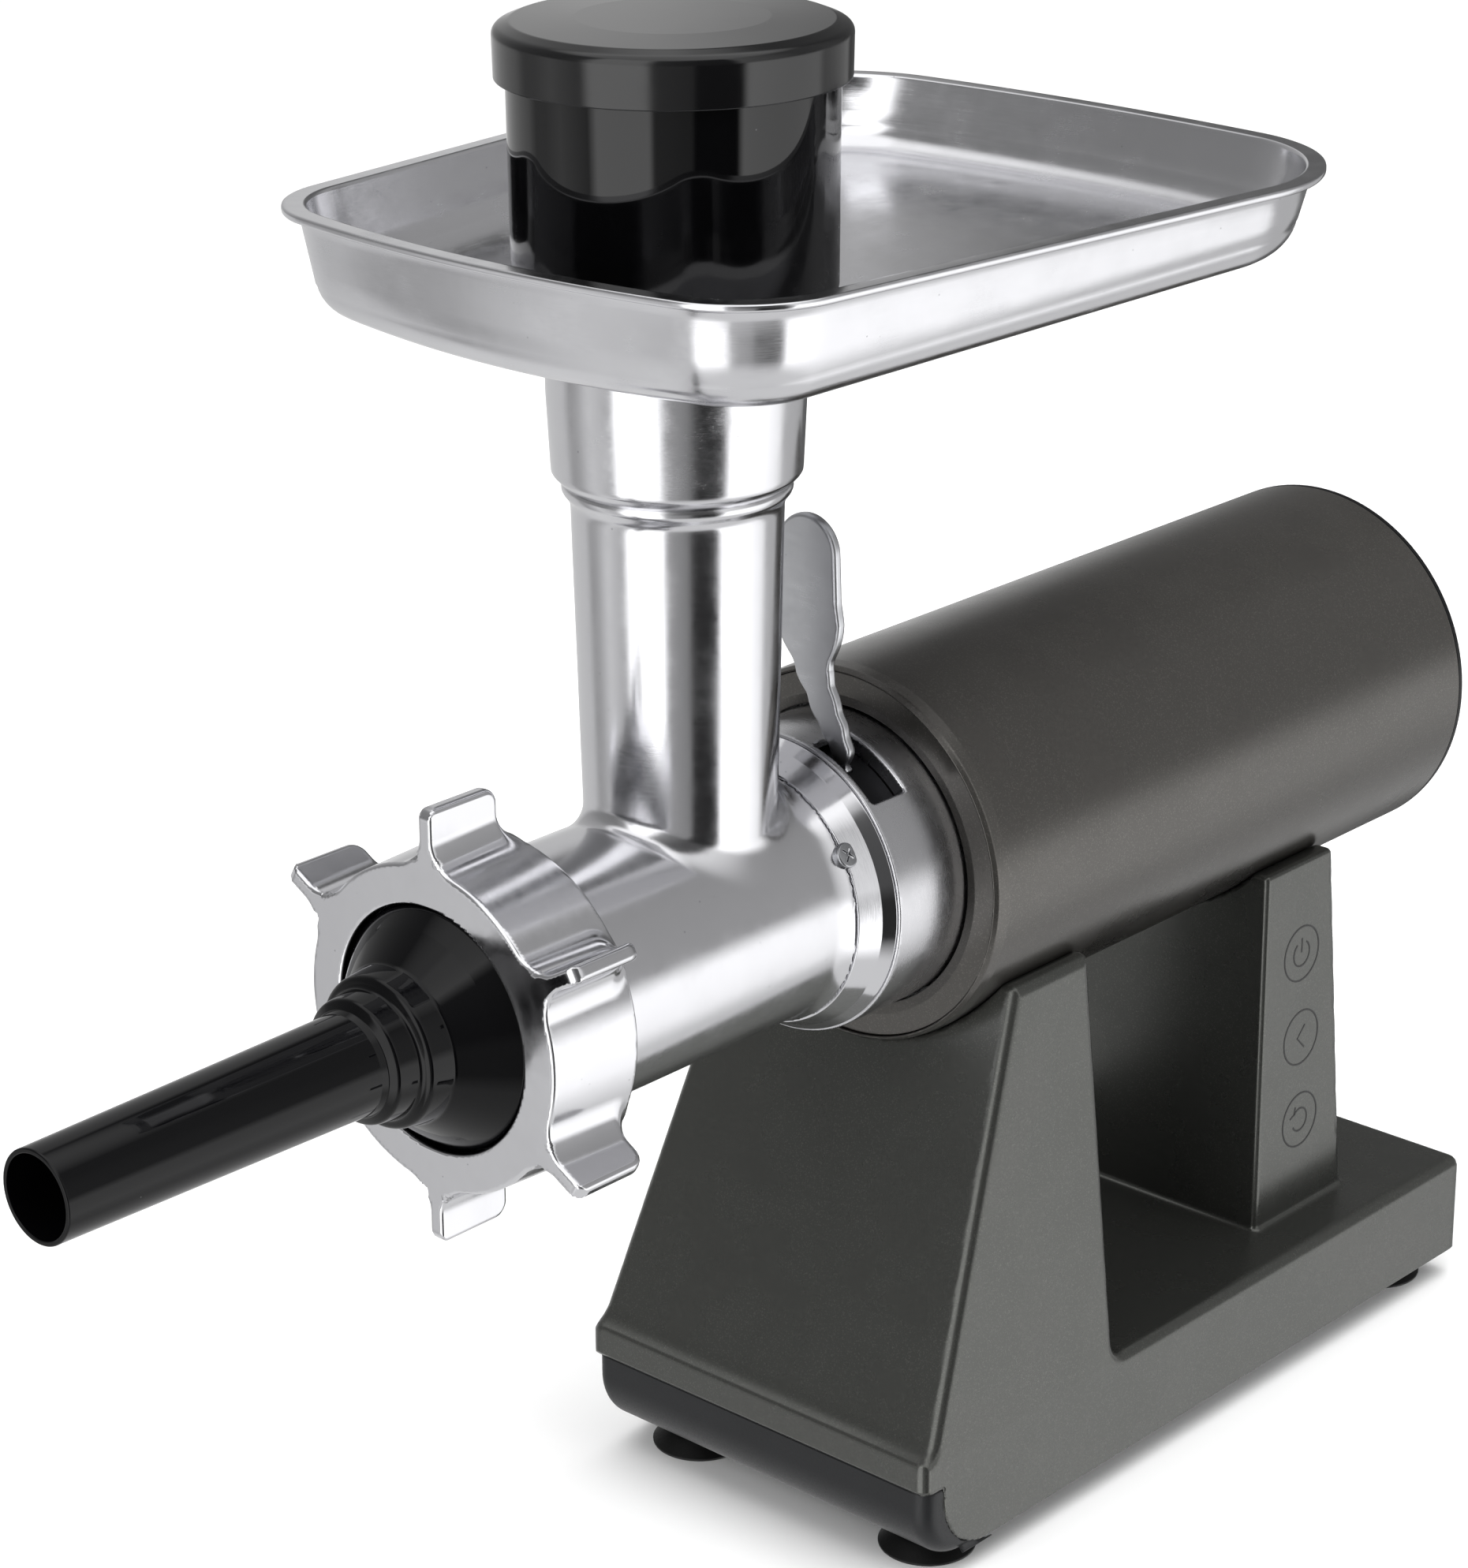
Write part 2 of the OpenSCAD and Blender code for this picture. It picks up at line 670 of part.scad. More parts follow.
module ring_nut() {
  y0 = nut_front_y;
  color("silver") difference() {
    union() {
      on_axis() rotate_extrude($fn = 96) polygon([[nut_open_r, y0], [nut_r - 1.6, y0], [nut_r, y0 + 1.6],
        [nut_r + 0.8, nut_rear_y], [nut_open_r, nut_rear_y]]);
      around_axis([for (k = [0:wing_count - 1]) k * 360 / wing_count])
        translate([-wing_t / 2, 0, axis_z]) rotate([90, 0, 90]) linear_extrude(wing_t)
          polygon([[y0 + 0.2, 38], [y0 + 0.2, wing_r - 4], [y0 + 1.4, wing_r - 1], [y0 + 4, wing_r],
            [y0 + 19, wing_r], [y0 + 22, wing_r - 3], [y0 + 23, 38]]);
    }
    ring_y(38.6, 0, disc_y - 0.1, 0);
    ring_y(nut_open_r, 0, y0 - 5, 0);
  }
}

module sausage_tube() {
  color([0.06, 0.06, 0.07]) on_axis() rotate_extrude($fn = 96) polygon([[29, disc_y + 4.2],
    [37.6, disc_y + 4.2], [37.6, disc_y], [31.7, disc_y], [31.4, -126], [19.6, -139], [19.2, -145.8],
    [16.2, -145.8], [15.6, -152.4], [13.6, -152.8], [13.1, -154], [11.7, tip_y], [10.4, tip_y],
    [11.4, -154], [13, -146], [17, -137], [28, -124]]);
}

// ---- tray and pusher ----

// A quarter turn of a corner arc.
function corner(cx, cy, r, a0) = [for (k = [0:8]) [cx, cy] + polar(r, a0 + k * 90 / 8)];

// Pushes the front and rear edges out into shallow bows.
function bowed(p, a, b, y_front, y_rear) =
  p[1] < y_front ? [p[0], p[1] - 10.6 * (1 - pow(p[0] / a, 2))] :
  p[1] > y_rear ? [p[0], p[1] + 8.1 * (1 - pow(p[0] / b, 2))] : p;

// Plan outline of the tray about the feed tube, inset by i all round.
function tray_points(i) =
  let (a = tray_front_half - i, b = tray_rear_half - i, y0 = tray_front_y + i, y1 = tray_rear_y - i)
  let (r1 = 23 - i * 0.6, r2 = 42.7 - i)
  let (raw = concat([for (k = [-3:3]) [k / 3.5 * (a - r1), y0]], corner(a - r1, y0 + r1, r1, -90),
    corner(b - r2, y1 - r2, r2, 0), [for (k = [3:-1:-3]) [k / 3.5 * (b - r2), y1]],
    corner(r2 - b, y1 - r2, r2, 90), corner(r1 - a, y0 + r1, r1, 180)))
  [for (p = raw) bowed(p, a, b, y0 + r1 - 0.01, y1 - r2 + 0.01)];

// A thin slice of the tray, its plane falling towards the front by tilt.
module tray_slice(i, z, tilt) {
  translate([0, tray_front_y, z]) rotate([tilt, 0, 0]) translate([0, -tray_front_y, 0])
    linear_extrude(0.2) polygon(tray_points(i));
}

module tray_form(w) {
  hull() {
    tray_slice(3 + w, rim_z - 1 + w, 0);
    tray_slice(6 + w, floor_z + 9 + w / 2, floor_tilt);
    tray_slice(8.6 + w, floor_z + 3.4 + w, floor_tilt);
    tray_slice(15 + w, floor_z + w, floor_tilt);
  }
}

module hopper_tray() {
  color("silver") translate([0, feed_y, 0]) difference() {
    union() {
      tray_form(0);
      translate([0, 0, rim_z - 2.2]) linear_extrude(2.2) polygon(tray_points(0));
      rotate_extrude($fn = 96) polygon([[0, neck_z], [28.6, neck_z], [31.4, neck_z + 3.2], [32.6, 336],
        [32.6, floor_z + 3], [0, floor_z + 3]]);
    }
    tray_form(tray_wall);
    translate([0, 0, 300]) cylinder(r = 27.1, h = feed_top_z + 0.3 - 300);
    translate([0, 0, 300]) cylinder(r = feed_bore_r, h = 60);
  }
}

module pusher_body() {
  r = cap_r - 3;
  top = cap_top_z - 3.1;
  foot = 240;
  floor_top = 353.4;
  bore = plunger_r - 2.4;
  color([0.05, 0.05, 0.06]) translate([0, feed_y, 0]) rotate_extrude($fn = 96) polygon([[0, foot],
    [plunger_r - 1, foot], [plunger_r, foot + 1], [plunger_r, floor_top], [r - 2.6, floor_top],
    [r - 0.6, floor_top + 2], [r, top], [r - 2.4, top], [r - 2.8, floor_top + 3], [bore, floor_top + 3],
    [bore, foot + 3], [0, foot + 3]]);
}

module pusher_cap() {
  under = cap_top_z - 3;
  skirt = 409;
  color([0.08, 0.08, 0.09]) translate([0, feed_y, 0]) rotate_extrude($fn = 96) polygon([[0, under],
    [cap_r - 2.5, under], [cap_r - 2.5, skirt], [cap_r - 0.3, skirt], [cap_r, skirt + 1], [cap_r, under],
    [cap_r - 1, under + 1.6], [cap_r - 3, under + 2.4], [0, cap_top_z]]);
}

housing_tube();
front_bezel();
rear_cap();
rear_cap_screws();
stand_shell();
bottom_cover();
bottom_cover_screws();
suction_feet();
touch_board();
control_board();
power_components();
cord_gland();
stand_bolts();
socket_collar();
socket_lip();
socket_screws();
lock_ring();
lock_lever();
lever_screw();
gearbox_case();
gearbox_cover();
output_bearing();
countershaft_bushes();
output_shaft();
output_gear();
countershaft();
countershaft_wheel();
motor_can();
motor_magnets();
motor_front_plate();
motor_end_bell();
motor_bearings();
rotor_shaft();
armature_core();
armature_windings();
commutator();
carbon_brushes();
brush_springs();
cooling_fan();
motor_pinion();
grinder_head();
locating_screw();
auger_bush();
auger();
auger_shank();
sausage_spider();
ring_nut();
sausage_tube();
hopper_tray();
pusher_body();
pusher_cap();
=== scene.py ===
# Looks of the electric meat grinder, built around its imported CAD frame.
import math
import json

import bpy
import bmesh
import numpy as np
from mathutils import Matrix, Vector

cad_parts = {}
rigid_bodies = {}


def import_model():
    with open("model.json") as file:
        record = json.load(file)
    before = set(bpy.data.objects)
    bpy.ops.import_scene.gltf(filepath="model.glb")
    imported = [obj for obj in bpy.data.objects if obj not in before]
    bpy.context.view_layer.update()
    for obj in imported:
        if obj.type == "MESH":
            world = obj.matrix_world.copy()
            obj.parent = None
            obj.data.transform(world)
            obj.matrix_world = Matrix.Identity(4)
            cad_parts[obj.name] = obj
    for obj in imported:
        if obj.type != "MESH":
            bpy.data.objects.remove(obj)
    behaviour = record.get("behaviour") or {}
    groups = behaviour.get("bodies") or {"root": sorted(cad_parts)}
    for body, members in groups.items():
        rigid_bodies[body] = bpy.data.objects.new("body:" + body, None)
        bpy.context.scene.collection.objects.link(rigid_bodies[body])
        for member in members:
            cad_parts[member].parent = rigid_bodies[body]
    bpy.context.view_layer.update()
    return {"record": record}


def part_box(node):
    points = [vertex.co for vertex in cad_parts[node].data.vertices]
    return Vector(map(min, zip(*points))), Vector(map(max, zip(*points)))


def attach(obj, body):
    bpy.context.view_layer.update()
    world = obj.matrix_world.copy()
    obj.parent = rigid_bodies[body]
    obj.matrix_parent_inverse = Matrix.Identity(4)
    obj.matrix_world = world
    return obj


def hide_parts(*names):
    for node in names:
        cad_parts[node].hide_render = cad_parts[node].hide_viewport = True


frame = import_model()
MM = 0.001

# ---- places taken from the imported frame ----

AXIS_Z = (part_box("housing_tube")[0].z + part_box("housing_tube")[1].z) / 2 / MM
FEED_Y = (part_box("pusher_cap")[0].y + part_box("pusher_cap")[1].y) / 2 / MM


def low(node, axis):
    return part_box(node)[0][axis] / MM


def high(node, axis):
    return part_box(node)[1][axis] / MM


HOUSING_R = high("housing_tube", 0)
HOUSING_FRONT = low("housing_tube", 1)
HOUSING_REAR = high("housing_tube", 1)
NUT_FRONT = low("ring_nut", 1)
TIP_Y = low("sausage_tube", 1)
RIM_Z = high("hopper_tray", 2)
CAP_TOP = high("pusher_cap", 2)
CAP_R = high("pusher_cap", 0)
LIP_FRONT = low("socket_lip", 1)
COLLAR_R = high("socket_collar", 0)
BASE_W = high("stand_shell", 0)
BASE_FRONT = low("stand_shell", 1)
BASE_REAR = high("stand_shell", 1)
LEG_TOP = high("stand_shell", 2)
SKIRT_Z = low("stand_shell", 2)

# ---- materials ----


def linear(code):
    """An sRGB hex colour as linear RGBA."""
    parts = [int(code[i:i + 2], 16) / 255 for i in (1, 3, 5)]
    return [c / 12.92 if c <= 0.04045 else ((c + 0.055) / 1.055) ** 2.4 for c in parts] + [1.0]


def add(tree, kind, values=None, links=None, **settings):
    """Adds one node with its settings, its input values and its incoming links."""
    node = tree.nodes.new(kind)
    for key, value in settings.items():
        setattr(node, key, value)
    for key, value in (values or {}).items():
        node.inputs[key].default_value = value
    for key, source in (links or {}).items():
        tree.links.new(source, node.inputs[key])
    return node


def ramp(tree, source, stops):
    """A colour ramp through the given (place, colour) stops."""
    node = add(tree, "ShaderNodeValToRGB", links={"Fac": source})
    bar = node.color_ramp
    while len(bar.elements) < len(stops):
        bar.elements.new(0.5)
    for element, (place, colour) in zip(bar.elements, stops):
        element.position = place
        element.color = colour if len(colour) == 4 else [*colour, 1.0]
    return node.outputs["Color"]


def grey(value):
    return [value, value, value, 1.0]


def blank(name):
    material = bpy.data.materials.new(name)
    material.use_nodes = True
    tree = material.node_tree
    shader = tree.nodes["Principled BSDF"]
    return material, tree, shader


def around(tree, axis, centre, radius):
    """Coordinates in metres that run round a turned piece: arc length, and place along its axis."""
    place = add(tree, "ShaderNodeTexCoord").outputs["Object"]
    moved = add(tree, "ShaderNodeVectorMath", {1: centre}, {0: place}, operation="SUBTRACT")
    split = add(tree, "ShaderNodeSeparateXYZ", links={0: moved.outputs[0]})
    across, along = ("Z", "Y") if axis == "Y" else ("Y", "Z")
    turn = add(tree, "ShaderNodeMath", links={0: split.outputs[across], 1: split.outputs["X"]},
               operation="ARCTAN2")
    arc = add(tree, "ShaderNodeMath", {1: radius}, {0: turn.outputs[0]}, operation="MULTIPLY")
    joint = add(tree, "ShaderNodeCombineXYZ", links={"X": arc.outputs[0], "Y": split.outputs[along]})
    return joint.outputs[0]


def object_place(tree):
    return add(tree, "ShaderNodeTexCoord").outputs["Object"]


def stretched(tree, vector, scale, detail=3.0, rough=0.6):
    """Noise on coordinates in metres, with a different fineness along each; scale is cycles per metre."""
    mapped = add(tree, "ShaderNodeMapping", {"Scale": scale}, {"Vector": vector})
    return add(tree, "ShaderNodeTexNoise", {"Scale": 1.0, "Detail": detail, "Roughness": rough},
               {"Vector": mapped.outputs[0]}).outputs["Fac"]


def between(tree, source, low_value, high_value, out_low, out_high):
    node = add(tree, "ShaderNodeMapRange", {"From Min": low_value, "From Max": high_value, "To Min": out_low,
                                            "To Max": out_high}, {"Value": source})
    return node.outputs[0]


def tinted(tree, share, first, second):
    """The first colour turning into the second as the share goes from 0 to 1."""
    return add(tree, "ShaderNodeMix", {6: first, 7: second}, {0: share}, data_type="RGBA").outputs[2]


def feed_shader(tree, shader, colour, rough, normal):
    for key, source in (("Base Color", colour), ("Roughness", rough), ("Normal", normal)):
        tree.links.new(source, shader.inputs[key])


def metallic_paint(name, shade, flake_shade, rough):
    # Stoved metallic enamel, sprayed: a warm grey binder full of fine aluminium flake, which
    # gives the eye a soft sheen with tiny brighter specks and no mirror image.
    material, tree, shader = blank(name)
    place = object_place(tree)
    # real flake is 0.05 mm, too fine to show, so it is drawn at 0.28 mm
    flake = add(tree, "ShaderNodeTexVoronoi", {"Scale": 1 / 0.00028}, {"Vector": place}, feature="F1")
    cells = add(tree, "ShaderNodeSeparateColor", links={0: flake.outputs["Color"]})
    cloud = stretched(tree, place, (40, 40, 40), 4)
    speck = between(tree, cells.outputs[0], 0.8, 1.0, 0.0, 0.35)
    tint = tinted(tree, speck, linear(shade), linear(flake_shade))
    peel = stretched(tree, place, (900, 900, 900), 2)
    both = add(tree, "ShaderNodeMath", {1: 0.2}, {0: cells.outputs[1], 2: peel}, operation="MULTIPLY_ADD")
    bump = add(tree, "ShaderNodeBump", {"Strength": 0.12, "Distance": 0.00002}, {"Height": both.outputs[0]})
    dulling = between(tree, cloud, 0.3, 0.7, rough - 0.04, rough + 0.05)
    feed_shader(tree, shader, tint, dulling, bump.outputs[0])
    shader.inputs["Metallic"].default_value = 0.75
    shader.inputs["Coat Weight"].default_value = 0.3
    shader.inputs["Coat Roughness"].default_value = 0.2
    return material


def worked_aluminium(name, coords, shade="#d3d3d6", rough=0.17, grain=0.35, pits=0.5, spread=0.1):
    # Die-cast aluminium, belt-ground then buffed: a bright mirror-like skin with fine short grinding
    # lines running round the piece, cloudy patches of duller metal and a few pinhole pits, whose
    # darker colour is painted shade inside them.
    material, tree, shader = blank(name)
    place = object_place(tree)
    round_it = coords(tree) if coords else place
    # grinding lines 0.12 mm apart and some 6 mm long; drawn 0.3 mm apart so that they show
    lines = stretched(tree, round_it, (160, 3300, 900), 4, 0.65)
    fine = stretched(tree, round_it, (420, 6500, 2200), 2, 0.6)
    cloud = stretched(tree, place, (60, 60, 60), 5, 0.65)
    mixed = add(tree, "ShaderNodeMath", {1: 0.5}, {0: lines, 2: cloud}, operation="MULTIPLY_ADD")
    dulling = between(tree, mixed.outputs[0], 0.5, 1.0, rough - spread * 0.5, rough + spread)
    hole = add(tree, "ShaderNodeTexVoronoi", {"Scale": 330.0}, {"Vector": place}, feature="F1")
    which = add(tree, "ShaderNodeSeparateColor", links={0: hole.outputs["Color"]})
    chosen = between(tree, which.outputs[0], 0.9, 0.91, 0.0, 1.0)
    near = between(tree, hole.outputs["Distance"], 0.05, 0.1, 1.0, 0.0)
    pit_and_painted_pit_shade = add(tree, "ShaderNodeMath", links={0: chosen, 1: near}, operation="MULTIPLY")
    # each pit is a real dip in the bump below, and its darker colour is painted shade in the hole
    tint = tinted(tree, between(tree, pit_and_painted_pit_shade.outputs[0], 0.0, 1.0, 0.0, 0.5), linear(shade), linear("#8d8d90"))
    dips = add(tree, "ShaderNodeMath", {1: -pits}, {0: pit_and_painted_pit_shade.outputs[0], 2: lines}, operation="MULTIPLY_ADD")
    wave = stretched(tree, place, (150, 150, 150), 2, 0.5)
    first = add(tree, "ShaderNodeBump", {"Strength": grain, "Distance": 0.00002}, {"Height": dips.outputs[0]})
    second = add(tree, "ShaderNodeBump", {"Strength": grain * 0.6, "Distance": 0.00001},
                 {"Height": fine, "Normal": first.outputs[0]})
    third = add(tree, "ShaderNodeBump", {"Strength": 0.25, "Distance": 0.00008},
                {"Height": wave, "Normal": second.outputs[0]})
    feed_shader(tree, shader, tint, dulling, third.outputs[0])
    shader.inputs["Metallic"].default_value = 1.0
    return material


def gloss_moulding(name, shade="#050506", rough=0.03, specular=0.4):
    # High-gloss ABS, injection moulded in a polished tool: deep black with a sharp clear
    # reflection, faint flow marks and a little settled dust.
    material, tree, shader = blank(name)
    place = object_place(tree)
    flow = stretched(tree, place, (25, 25, 60), 3)
    dust = add(tree, "ShaderNodeTexVoronoi", {"Scale": 260.0}, {"Vector": place}, feature="F1")
    which = add(tree, "ShaderNodeSeparateColor", links={0: dust.outputs["Color"]})
    chosen = between(tree, which.outputs[0], 0.96, 0.97, 0.0, 1.0)
    near = between(tree, dust.outputs["Distance"], 0.02, 0.05, 1.0, 0.0)
    mote = add(tree, "ShaderNodeMath", links={0: chosen, 1: near}, operation="MULTIPLY")
    tint = tinted(tree, mote.outputs[0], linear(shade), linear("#6b6b6e"))
    bump = add(tree, "ShaderNodeBump", {"Strength": 0.03, "Distance": 0.00005}, {"Height": flow})
    dulling = between(tree, flow, 0.3, 0.7, rough * 0.7, rough * 1.5)
    feed_shader(tree, shader, tint, dulling, bump.outputs[0])
    shader.inputs["Specular IOR Level"].default_value = specular
    return material


def satin_moulding(name, shade, rough=0.42, grit=0.0005, specular=0.5):
    # Polypropylene or ABS from a spark-eroded tool: an even satin black whose fine
    # pebbled skin spreads every highlight.
    material, tree, shader = blank(name)
    place = object_place(tree)
    pebble = stretched(tree, place, (1 / grit, 1 / grit, 1 / grit), 2)
    cloud = stretched(tree, place, (50, 50, 50), 3)
    lighter = [min(1.0, c * 1.5) for c in linear(shade)[:3]] + [1.0]
    tint = tinted(tree, between(tree, cloud, 0.3, 0.7, 0.0, 0.5), linear(shade), lighter)
    bump = add(tree, "ShaderNodeBump", {"Strength": 0.25, "Distance": 0.00006}, {"Height": pebble})
    dulling = between(tree, pebble, 0.3, 0.7, rough - 0.05, rough + 0.08)
    feed_shader(tree, shader, tint, dulling, bump.outputs[0])
    shader.inputs["Specular IOR Level"].default_value = specular
    return material


def plain_metal(name, shade, rough, lines=(300, 3000, 300)):
    # Turned, drawn or plated steel: bright metal with fine tool lines and a faint uneven dulling.
    material, tree, shader = blank(name)
    place = object_place(tree)
    marks = stretched(tree, place, lines, 3)
    cloud = stretched(tree, place, (90, 90, 90), 3)
    darker = [c * 0.78 for c in linear(shade)[:3]] + [1.0]
    tint = tinted(tree, between(tree, cloud, 0.35, 0.75, 0.0, 1.0), linear(shade), darker)
    bump = add(tree, "ShaderNodeBump", {"Strength": 0.2, "Distance": 0.00002}, {"Height": marks})
    dulling = between(tree, marks, 0.3, 0.7, rough - 0.06, rough + 0.1)
    feed_shader(tree, shader, tint, dulling, bump.outputs[0])
    shader.inputs["Metallic"].default_value = 1.0
    return material


def about_drive(radius):
    return lambda tree: around(tree, "Y", (0, 0, AXIS_Z * MM), radius * MM)


def about_feed(radius):
    return lambda tree: around(tree, "Z", (0, FEED_Y * MM, 0), radius * MM)


PAINT_TUBE = metallic_paint("stoved_paint_on_tube", "#504e4b", "#7d7a75", 0.28)
PAINT_STAND = metallic_paint("stoved_paint_on_stand", "#4b4c49", "#74746f", 0.27)
CAST_HEAD = worked_aluminium("buffed_cast_aluminium_barrel", about_drive(34), rough=0.15)
CAST_FEED = worked_aluminium("buffed_cast_aluminium_feed_tube", about_feed(25), rough=0.16)
CAST_NUT = worked_aluminium("buffed_cast_aluminium_nut", about_drive(42), rough=0.13, spread=0.12)
CAST_COLLAR = worked_aluminium("satin_cast_aluminium_collar", about_drive(41), shade="#cbcbce", rough=0.24)
CAST_LIP = worked_aluminium("polished_cast_aluminium_lip", about_drive(38), rough=0.1, grain=0.2, spread=0.06)
TRAY_METAL = worked_aluminium("pressed_and_polished_aluminium_tray", about_feed(95), rough=0.16, spread=0.14)
LEVER_METAL = worked_aluminium("tumbled_cast_aluminium_lever", None, shade="#c6c7ca", rough=0.3, pits=1.2)
GLOSS_BLACK = gloss_moulding("gloss_black_abs")
TUBE_BLACK = gloss_moulding("gloss_black_food_grade_moulding", "#040405", 0.03, 0.22)
CAP_BLACK = gloss_moulding("gloss_black_abs_lid", "#0b0b0c", 0.1, 0.5)
KEY_INK = satin_moulding("screen_printed_black_ink", "#1d1d1d", 0.5, 0.0008)
COVER_BLACK = satin_moulding("satin_black_moulding", "#131416", specular=0.35)
REAR_BLACK = satin_moulding("fine_matt_black_rear_cap", "#08080a", 0.35, specular=0.25)
RING_STEEL = plain_metal("blackened_steel_lock_ring", "#2a2a2c", 0.4)
RUBBER = satin_moulding("moulded_black_rubber", "#080808", 0.55, 0.0008, 0.3)
SCREW_STEEL = plain_metal("zinc_plated_steel", "#a9aaad", 0.3)

FINISH_OF_SLOT = {
    "housing_paint": PAINT_TUBE,
    "stand_paint": PAINT_STAND,
    "cast_aluminium": CAST_COLLAR,
    "tray_aluminium": TRAY_METAL,
    "lever_aluminium": LEVER_METAL,
    "gloss_black": GLOSS_BLACK,
    "satin_black": COVER_BLACK,
    "foot_rubber": RUBBER,
    "zinc_steel": SCREW_STEEL,
    "turned_steel": plain_metal("turned_bright_steel", "#b5b5b8", 0.22),
    "motor_steel": plain_metal("zinc_plated_pressed_steel", "#8f9194", 0.35, (60, 60, 900)),
    "lamination_steel": plain_metal("stacked_electrical_steel", "#7c7d80", 0.42, (100, 2000, 100)),
    "copper_winding": plain_metal("enamelled_copper_wire", "#b5653a", 0.3, (900, 2600, 900)),
    "sintered_bronze": plain_metal("oiled_sintered_bronze", "#a8814f", 0.45, (1800, 1800, 1800)),
    "ferrite": satin_moulding("pressed_ferrite", "#2b2b2e", 0.55, 0.0006),
    "carbon": satin_moulding("pressed_carbon", "#1c1c1d", 0.5, 0.0004),
    "gear_nylon": satin_moulding("natural_moulded_nylon", "#dcd8cb", 0.4, 0.0012),
    "circuit_board": satin_moulding("solder_masked_glass_fibre_board", "#11502a", 0.3, 0.0016),
    "component_black": satin_moulding("black_component_moulding", "#1b1b1d", 0.45, 0.0007),
}
for row in frame["record"]["subparts"]:
    if row["node"] in bpy.data.objects:
        for material_slot in bpy.data.objects[row["node"]].material_slots:
            material_slot.material = FINISH_OF_SLOT[row["material_slot"]]

bpy.data.objects["rear_cap"].material_slots[0].material = REAR_BLACK
bpy.data.objects["lock_ring"].material_slots[0].material = RING_STEEL

# ---- meshes ----


def new_object(name, mesh, material):
    mesh.name = name
    mesh.materials.clear()
    mesh.materials.append(material)
    piece = bpy.data.objects.new(name, mesh)
    bpy.context.scene.collection.objects.link(piece)
    return piece


def settle(piece, body, material_slot, *nodes):
    """Hangs a finished piece on its CAD body and lets it stand for its CAD nodes."""
    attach(piece, body)
    if nodes:
        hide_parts(*nodes)
    return piece


def eased(profile, steps=6, guard=0.5):
    """A profile of (across, along, fillet) corners as a line of points, with each corner rounded by its
    fillet and a point set just outside each rounding, so that the flats stay flat in the reflections."""
    line = []
    count = len(profile)
    for i, (a, b, r) in enumerate(profile):
        here = np.array([a, b], float)
        if r <= 0:
            line.append(here)
            continue
        before = np.array(profile[i - 1][:2], float) - here
        after = np.array(profile[(i + 1) % count][:2], float) - here
        len_b, len_a = np.linalg.norm(before), np.linalg.norm(after)
        before, after = before / len_b, after / len_a
        half = math.acos(max(-1, min(1, before @ after))) / 2
        cut = min(r / math.tan(half), len_b * 0.46, len_a * 0.46)
        radius = cut * math.tan(half)
        middle = (before + after) / np.linalg.norm(before + after)
        centre = here + middle * radius / math.sin(half)
        start, end = here + before * cut, here + after * cut
        extra = min(guard, cut * 0.5)
        if len_b > cut + 2 * extra:
            line.append(start + before * extra)
        a0 = math.atan2(*(start - centre)[::-1])
        a1 = math.atan2(*(end - centre)[::-1])
        sweep = (a1 - a0 + math.pi) % (2 * math.pi) - math.pi
        for k in range(steps + 1):
            t = a0 + sweep * k / steps
            line.append(centre + radius * np.array([math.cos(t), math.sin(t)]))
        if len_a > cut + 2 * extra:
            line.append(end + after * extra)
    return line


def socket_id(tree, name):
    return next(item.identifier for item in tree.interface.items_tree if item.name == name)


def geometry_tree(name, result, sockets):
    """An empty geometry node tree with its sockets, and the node that hands out its inputs."""
    tree = bpy.data.node_groups.new(name, "GeometryNodeTree")
    for socket, kind in sockets:
        tree.interface.new_socket(socket, in_out="INPUT", socket_type="NodeSocket" + kind)
    tree.interface.new_socket(result, in_out="OUTPUT", socket_type="NodeSocketGeometry")
    return tree, add(tree, "NodeGroupInput")


def finished(tree, given, geometry):
    """Ends a geometry node tree: its instances are made real and take their finish."""
    real = add(tree, "GeometryNodeRealizeInstances", links={0: geometry})
    painted = add(tree, "GeometryNodeSetMaterial", links={"Geometry": real.outputs[0],
                                                          "Material": given.outputs["Finish"]})
    add(tree, "NodeGroupOutput", links={0: painted.outputs[0]})
    return tree


